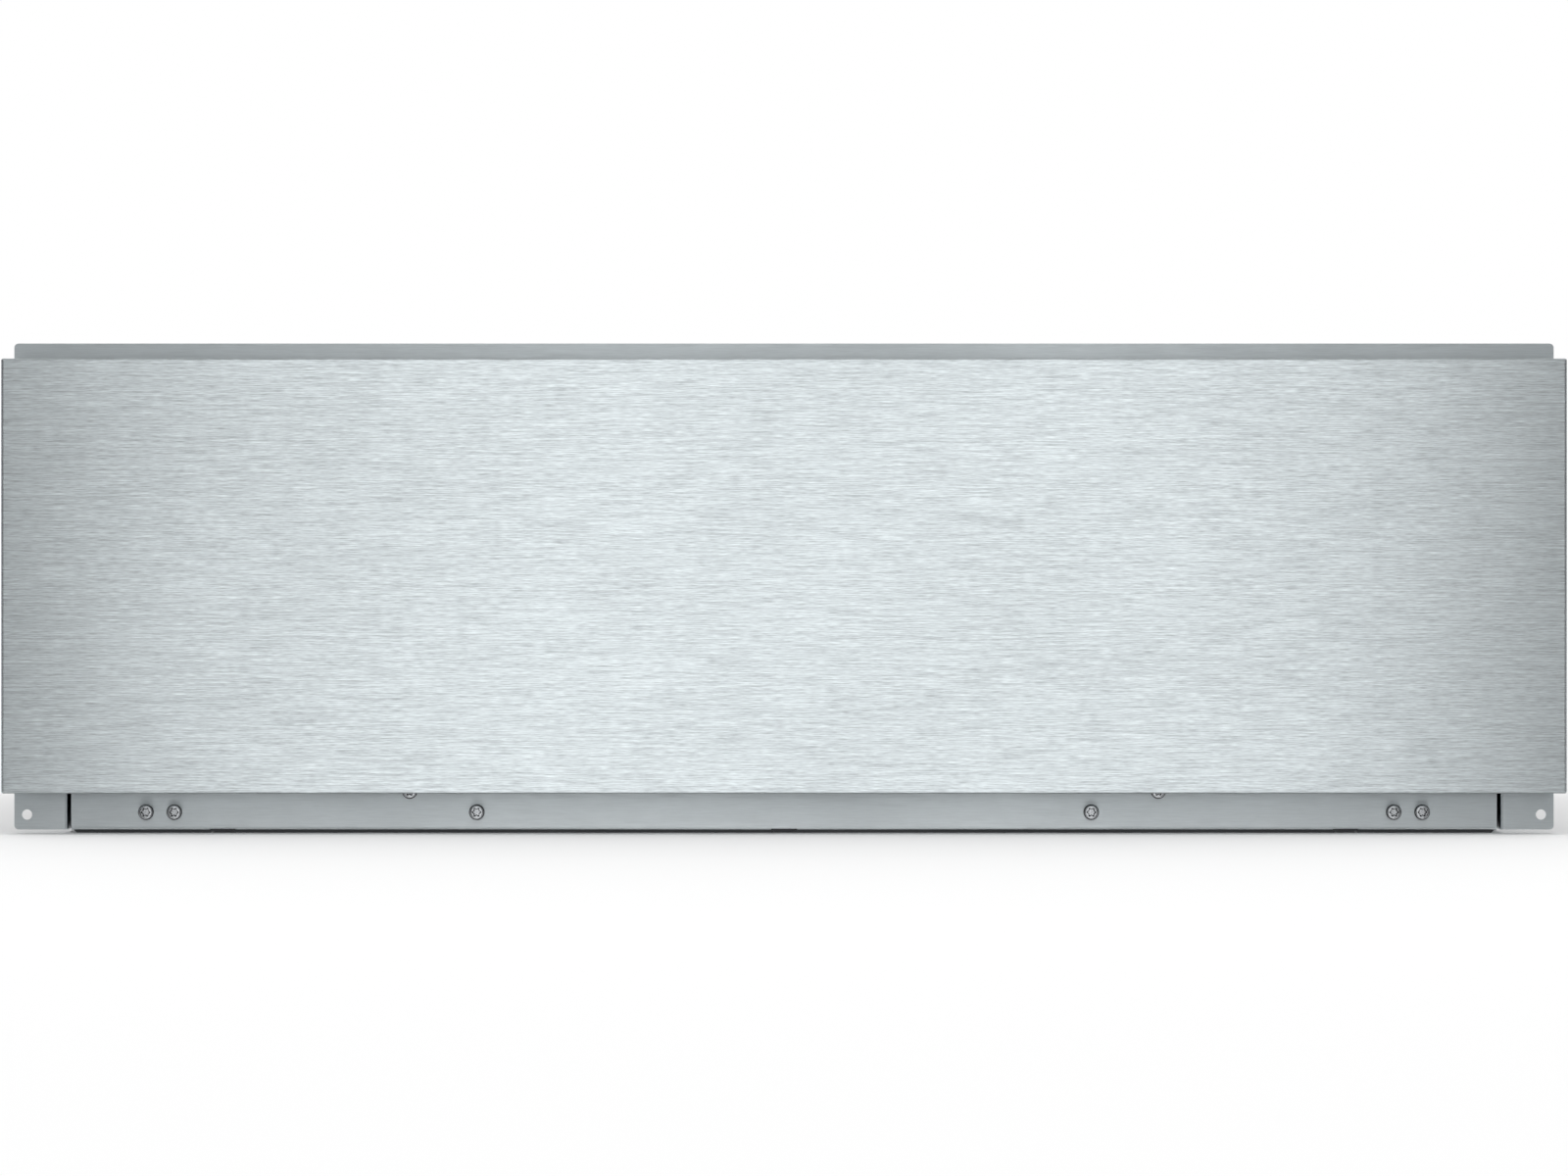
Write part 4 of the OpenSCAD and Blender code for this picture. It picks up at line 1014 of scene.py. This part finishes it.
class DRAWER_OT_controls(bpy.types.Operator):
    """Controls on top of the front module: knob, button, lamps and numbers"""

    bl_idname = "drawer.controls"
    bl_label = "Controls"

    first_mark = 210  # where the knob points at rest, in degrees from +X

    def execute(self, context):
        dress("control_strip", "selector_switch", "control_board")
        self.make_lenses()
        self.make_knob()
        self.make_pointer()
        self.make_button()
        self.make_numbers(context.scene.drawer_shape.numeral)
        return {"FINISHED"}

    def make_knob(self):
        """Knob with a stem, a rounded rim, a dished top and fine flutes round its side."""
        low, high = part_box("selector_knob")
        radius, top = (high.x - low.x) / 2, high.z - low.z
        skirt = top - 0.009
        foot, crown = skirt + 0.0014, top - 0.0014
        profile = [(0.0028, 0), (0.003, 0.0003), (0.003, skirt), (radius - 0.0004, skirt),
                   (radius, skirt + 0.0004), (radius, foot), (radius, crown),
                   (radius - 0.0001, top - 0.0009), (radius - 0.0005, top - 0.0004),
                   (radius - 0.0011, top), (radius - 0.0018, top), (radius - 0.0021, top - 0.0003)]
        sides = 120
        knob = turned("knob", profile, sides)

        def groove(face):
            centre = face.calc_center_median()
            on_side = abs(face.normal.z) < 0.1 and centre.xy.length > radius * 0.9
            turn = math.degrees(math.atan2(centre.y, centre.x)) % 360
            return on_side and foot < centre.z < crown and int(turn * sides / 360) % 4 < 2

        edit(knob)
        pick("FACE", groove)
        bpy.ops.mesh.inset(thickness=0.00006, depth=-0.0003)
        done()
        stand(knob, "selector_knob", "knob_cap")

    def make_pointer(self):
        """Dark line on the knob's top, from near its middle to its rim."""
        low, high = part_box("selector_knob")
        middle = middle_of("selector_knob")
        half_width, thick = 0.00045, 0.0004
        reach = (high.x - low.x) / 2 - 0.0012
        pointer = start_block("knob_pointer", (0.0028, -half_width, 0), (reach, half_width, thick))
        round_upright_edges(pointer, 0.0002, 2)
        done()
        pointer.rotation_euler = (0, 0, math.radians(self.first_mark))
        pointer.location = (middle.x, middle.y, high.z - thick)
        settle(pointer, "knob_pointer")
        put(pointer, "selector_knob", "black_plastic")

    def make_lenses(self):
        """Domed lenses of the indicator lamps."""
        low, high = solids_of("indicator_lenses")[0]
        radius, top = (high.x - low.x) / 2, high.z - low.z
        dome, foot, rise = radius - 0.0006, top + 0.0001, 0.0007
        profile = [(radius - 0.0002, 0), (radius, 0.0002), (radius, top - 0.0002),
                   (radius - 0.0001, top), (radius - 0.0005, top), (dome, foot)]
        for step in range(1, 6):
            turn = math.radians(90 * step / 5.5)
            profile.append((dome * math.cos(turn), foot + rise * math.sin(turn)))
        set_out(turned("lamp_lens", profile, 32), "indicator_lenses", "drawer", "+Z", top)

    def make_button(self):
        """Button with a stem, rounded edges and a shallow dish for the finger."""
        low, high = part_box("power_button")
        radius, top = (high.x - low.x) / 2, high.z - low.z
        cap, dish = top - 0.004, top - 0.0003
        profile = [(0.0014, 0), (0.0015, 0.0002), (0.0015, cap), (radius - 0.0002, cap),
                   (radius, cap + 0.0002), (radius, top - 0.0006), (radius - 0.0002, top - 0.0002),
                   (radius - 0.0006, top), (radius - 0.0012, top), (radius - 0.0024, top - 0.0002),
                   (radius - 0.004, dish), (0.0005, dish)]
        stand(turned("button", profile, 64), "power_button", "button_cap")

    def make_numbers(self, size):
        """Numbers 0 to 4 on the control strip, on an oval round the knob."""
        low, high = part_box("selector_knob")
        centre = middle_of("selector_knob")
        strip_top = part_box("control_strip")[1].z
        reach = (high.x - low.x) / 2 + 0.0045
        wide, deep, step, ink = 1.15 * reach, 0.86 * reach, 60, 0.00002
        numbers = []
        for value in range(5):
            turn = math.radians(self.first_mark - step * value)
            deselect()
            bpy.ops.object.text_add(location=(
                centre.x + wide * math.cos(turn), centre.y + deep * math.sin(turn), strip_top))
            text = bpy.context.object
            text.data.body = str(value)
            text.data.size = size
            text.data.align_x = "CENTER"
            text.data.align_y = "CENTER"
            text.data.extrude = ink
            bpy.ops.object.convert(target="MESH")
            numbers.append(bpy.context.object)
        select(*numbers)
        bpy.ops.object.join()
        marks = settle(bpy.context.object, "dial_numbers")
        edit(marks)
        bpy.ops.mesh.select_all(action="SELECT")
        bpy.ops.mesh.remove_doubles(threshold=TOUCH)
        bpy.ops.mesh.dissolve_degenerate(threshold=TOUCH)
        done()
        put(marks, "drawer", "white_plastic")


# Stage

WHITE = (1, 1, 1, 1)
UPRIGHT = (math.pi / 2, 0, 0)
SIDEWAYS = (0, math.pi / 2, 0)

# Plain cards that only reflections see, each with its place, turn, size and grey tone
CARDS = (
    ("dark_screen", (0, -5.0, 0.12), UPRIGHT, (12, 7), 0.02),
    ("grey_ceiling", (0, -0.2, 2.6), (0, 0, 0), (3.6, 3.6), 0.45),
    ("dark_floor_card", (0, 0.2, -0.9), (0, 0, 0), (3, 1.4), 0.1),
    ("dark_side_card", (-1.3, -0.35, 0.55), SIDEWAYS, (1.3, 1.9), 0.12),
    ("dark_side_card", (1.3, -0.35, 0.55), SIDEWAYS, (1.3, 1.9), 0.12),
)


class DRAWER_OT_stage(bpy.types.Operator):
    """Pale floor, soft lights and the camera"""

    bl_idname = "drawer.stage"
    bl_label = "Stage"

    def execute(self, context):
        stage = context.scene.drawer_stage
        self.make_floor()
        for card in CARDS:
            self.make_card(*card)
        self.add_light("front_soft_light", place=(0, -4.1, 0.12), target=(0, 0, 0.12),
                       size=(1.68, 5.0), power=stage.front_light, mirrored=True)
        self.add_light("top_soft_light", place=(0, -0.5, 2.3), target=(0, -0.1, 0.1),
                       size=(2.0, 1.6), power=stage.top_light, mirrored=False)
        self.make_room(context.scene, stage.sky)

        deselect()
        bpy.ops.object.camera_add(location=(0, -stage.distance, stage.height), rotation=UPRIGHT)
        camera = context.object
        camera.name = "front_camera"
        camera.data.lens = stage.lens
        camera.data.sensor_width = 36
        camera.data.clip_start = 0.05
        context.scene.camera = camera
        context.scene.view_settings.view_transform = "Standard"
        return {"FINISHED"}

    def make_floor(self):
        """Floor that light falls on and that metal doesn't mirror."""
        deselect()
        bpy.ops.mesh.primitive_plane_add(size=24, location=(0, 0, 0))
        floor = settle(bpy.context.object, "floor")
        floor.data.materials.append(self.floor_finish())
        floor.visible_glossy = False

    def floor_finish(self):
        """Pale floor that keeps the shadow near the drawer and is plain white far from it."""
        near_edge, far_edge = 0.9, 2.4
        finish = Finish("Pale floor", (0.86, 0.86, 0.86), 0.0, 0.9)
        finish.set(Specular_IOR_Level=0.1)
        ray = finish.node("LightPath").outputs
        seen = finish.math("MAXIMUM", ray["Is Camera Ray"], ray["Is Transmission Ray"])
        fade = finish.spread(finish.length(finish.place), (0, 1), (near_edge, far_edge))
        white = finish.node("Emission", {"Color": WHITE, "Strength": 1.0})
        amount = finish.math("MULTIPLY", fade, seen)
        finish.show(amount, finish.shader, white, "Material Output")
        return finish.material

    def make_card(self, name, place, turn, size, tone):
        """Plain card that only reflections see."""
        deselect()
        bpy.ops.mesh.primitive_plane_add(size=1, location=place, rotation=turn)
        card = bpy.context.object
        card.scale = (*size, 1)
        settle(card, name)
        finish = Finish(name.replace("_", " "), (tone, tone, tone), 0.0, 0.9)
        finish.set(Specular_IOR_Level=0.0)
        card.data.materials.append(finish.material)
        card.visible_camera = False
        card.visible_diffuse = False
        card.visible_shadow = False

    def add_light(self, name, place, target, size, power, mirrored):
        """Soft light aimed at a point, which metal and glass mirror or don't."""
        deselect()
        bpy.ops.object.light_add(type="AREA", location=place)
        light = bpy.context.object
        light.name = name
        light.rotation_euler = (Vector(target) - Vector(place)).to_track_quat("-Z", "Y").to_euler()
        light.data.shape = "RECTANGLE"
        light.data.size, light.data.size_y = size
        light.data.energy = power
        light.visible_camera = False
        light.visible_glossy = mirrored

    def make_room(self, scene, strength):
        """White for the camera, mirrors and glass, and a plain even light for the rest."""
        scene.world = bpy.data.worlds.new("Room")
        room = NodeTree(scene.world)
        even = room.fill(room.nodes["Background"], {"Color": WHITE, "Strength": strength})
        white = room.node("Background", {"Color": WHITE, "Strength": 1.0})
        ray = room.node("LightPath").outputs
        seen = room.math("MAXIMUM", ray["Is Camera Ray"], ray["Is Glossy Ray"])
        seen = room.math("MAXIMUM", seen, ray["Is Transmission Ray"])
        room.show(seen, even, white, "World Output")


# Add-on

PIECES = (
    DRAWER_OT_front_panel,
    DRAWER_OT_front_frame,
    DRAWER_OT_screws,
    DRAWER_OT_rivets,
    DRAWER_OT_buffers,
    DRAWER_OT_casing,
    DRAWER_OT_slides,
    DRAWER_OT_drawer_box,
    DRAWER_OT_heating,
    DRAWER_OT_insulation,
    DRAWER_OT_controls,
    DRAWER_OT_stage,
)


class DRAWER_PT_sidebar(bpy.types.Panel):
    """Lists the sizes, the colours and the pieces"""

    bl_idname = "DRAWER_PT_sidebar"
    bl_label = "Warming drawer"
    bl_space_type = "VIEW_3D"
    bl_region_type = "UI"
    bl_category = "Drawer"

    def draw(self, context):
        scene = context.scene
        for group in (scene.drawer_shape, scene.drawer_finish, scene.drawer_stage):
            box = self.layout.box()
            for name in group.bl_rna.properties.keys():
                if name not in ("rna_type", "name"):
                    box.prop(group, name)
        for piece in PIECES:
            self.layout.operator(piece.bl_idname)


GROUPS = {"drawer_shape": DrawerShape, "drawer_finish": DrawerFinish, "drawer_stage": DrawerStage}


def register():
    for group in GROUPS.values():
        bpy.utils.register_class(group)
    for name, group in GROUPS.items():
        setattr(bpy.types.Scene, name, bpy.props.PointerProperty(type=group))
    for piece in PIECES:
        bpy.utils.register_class(piece)
    bpy.utils.register_class(DRAWER_PT_sidebar)


def unregister():
    bpy.utils.unregister_class(DRAWER_PT_sidebar)
    for piece in reversed(PIECES):
        bpy.utils.unregister_class(piece)
    for name, group in GROUPS.items():
        delattr(bpy.types.Scene, name)
        bpy.utils.unregister_class(group)


def main():
    """Makes every piece in order."""
    register()
    for piece in PIECES:
        getattr(bpy.ops.drawer, piece.bl_idname.split(".")[1])()
    deselect()


if __name__ == "__main__":
    main()
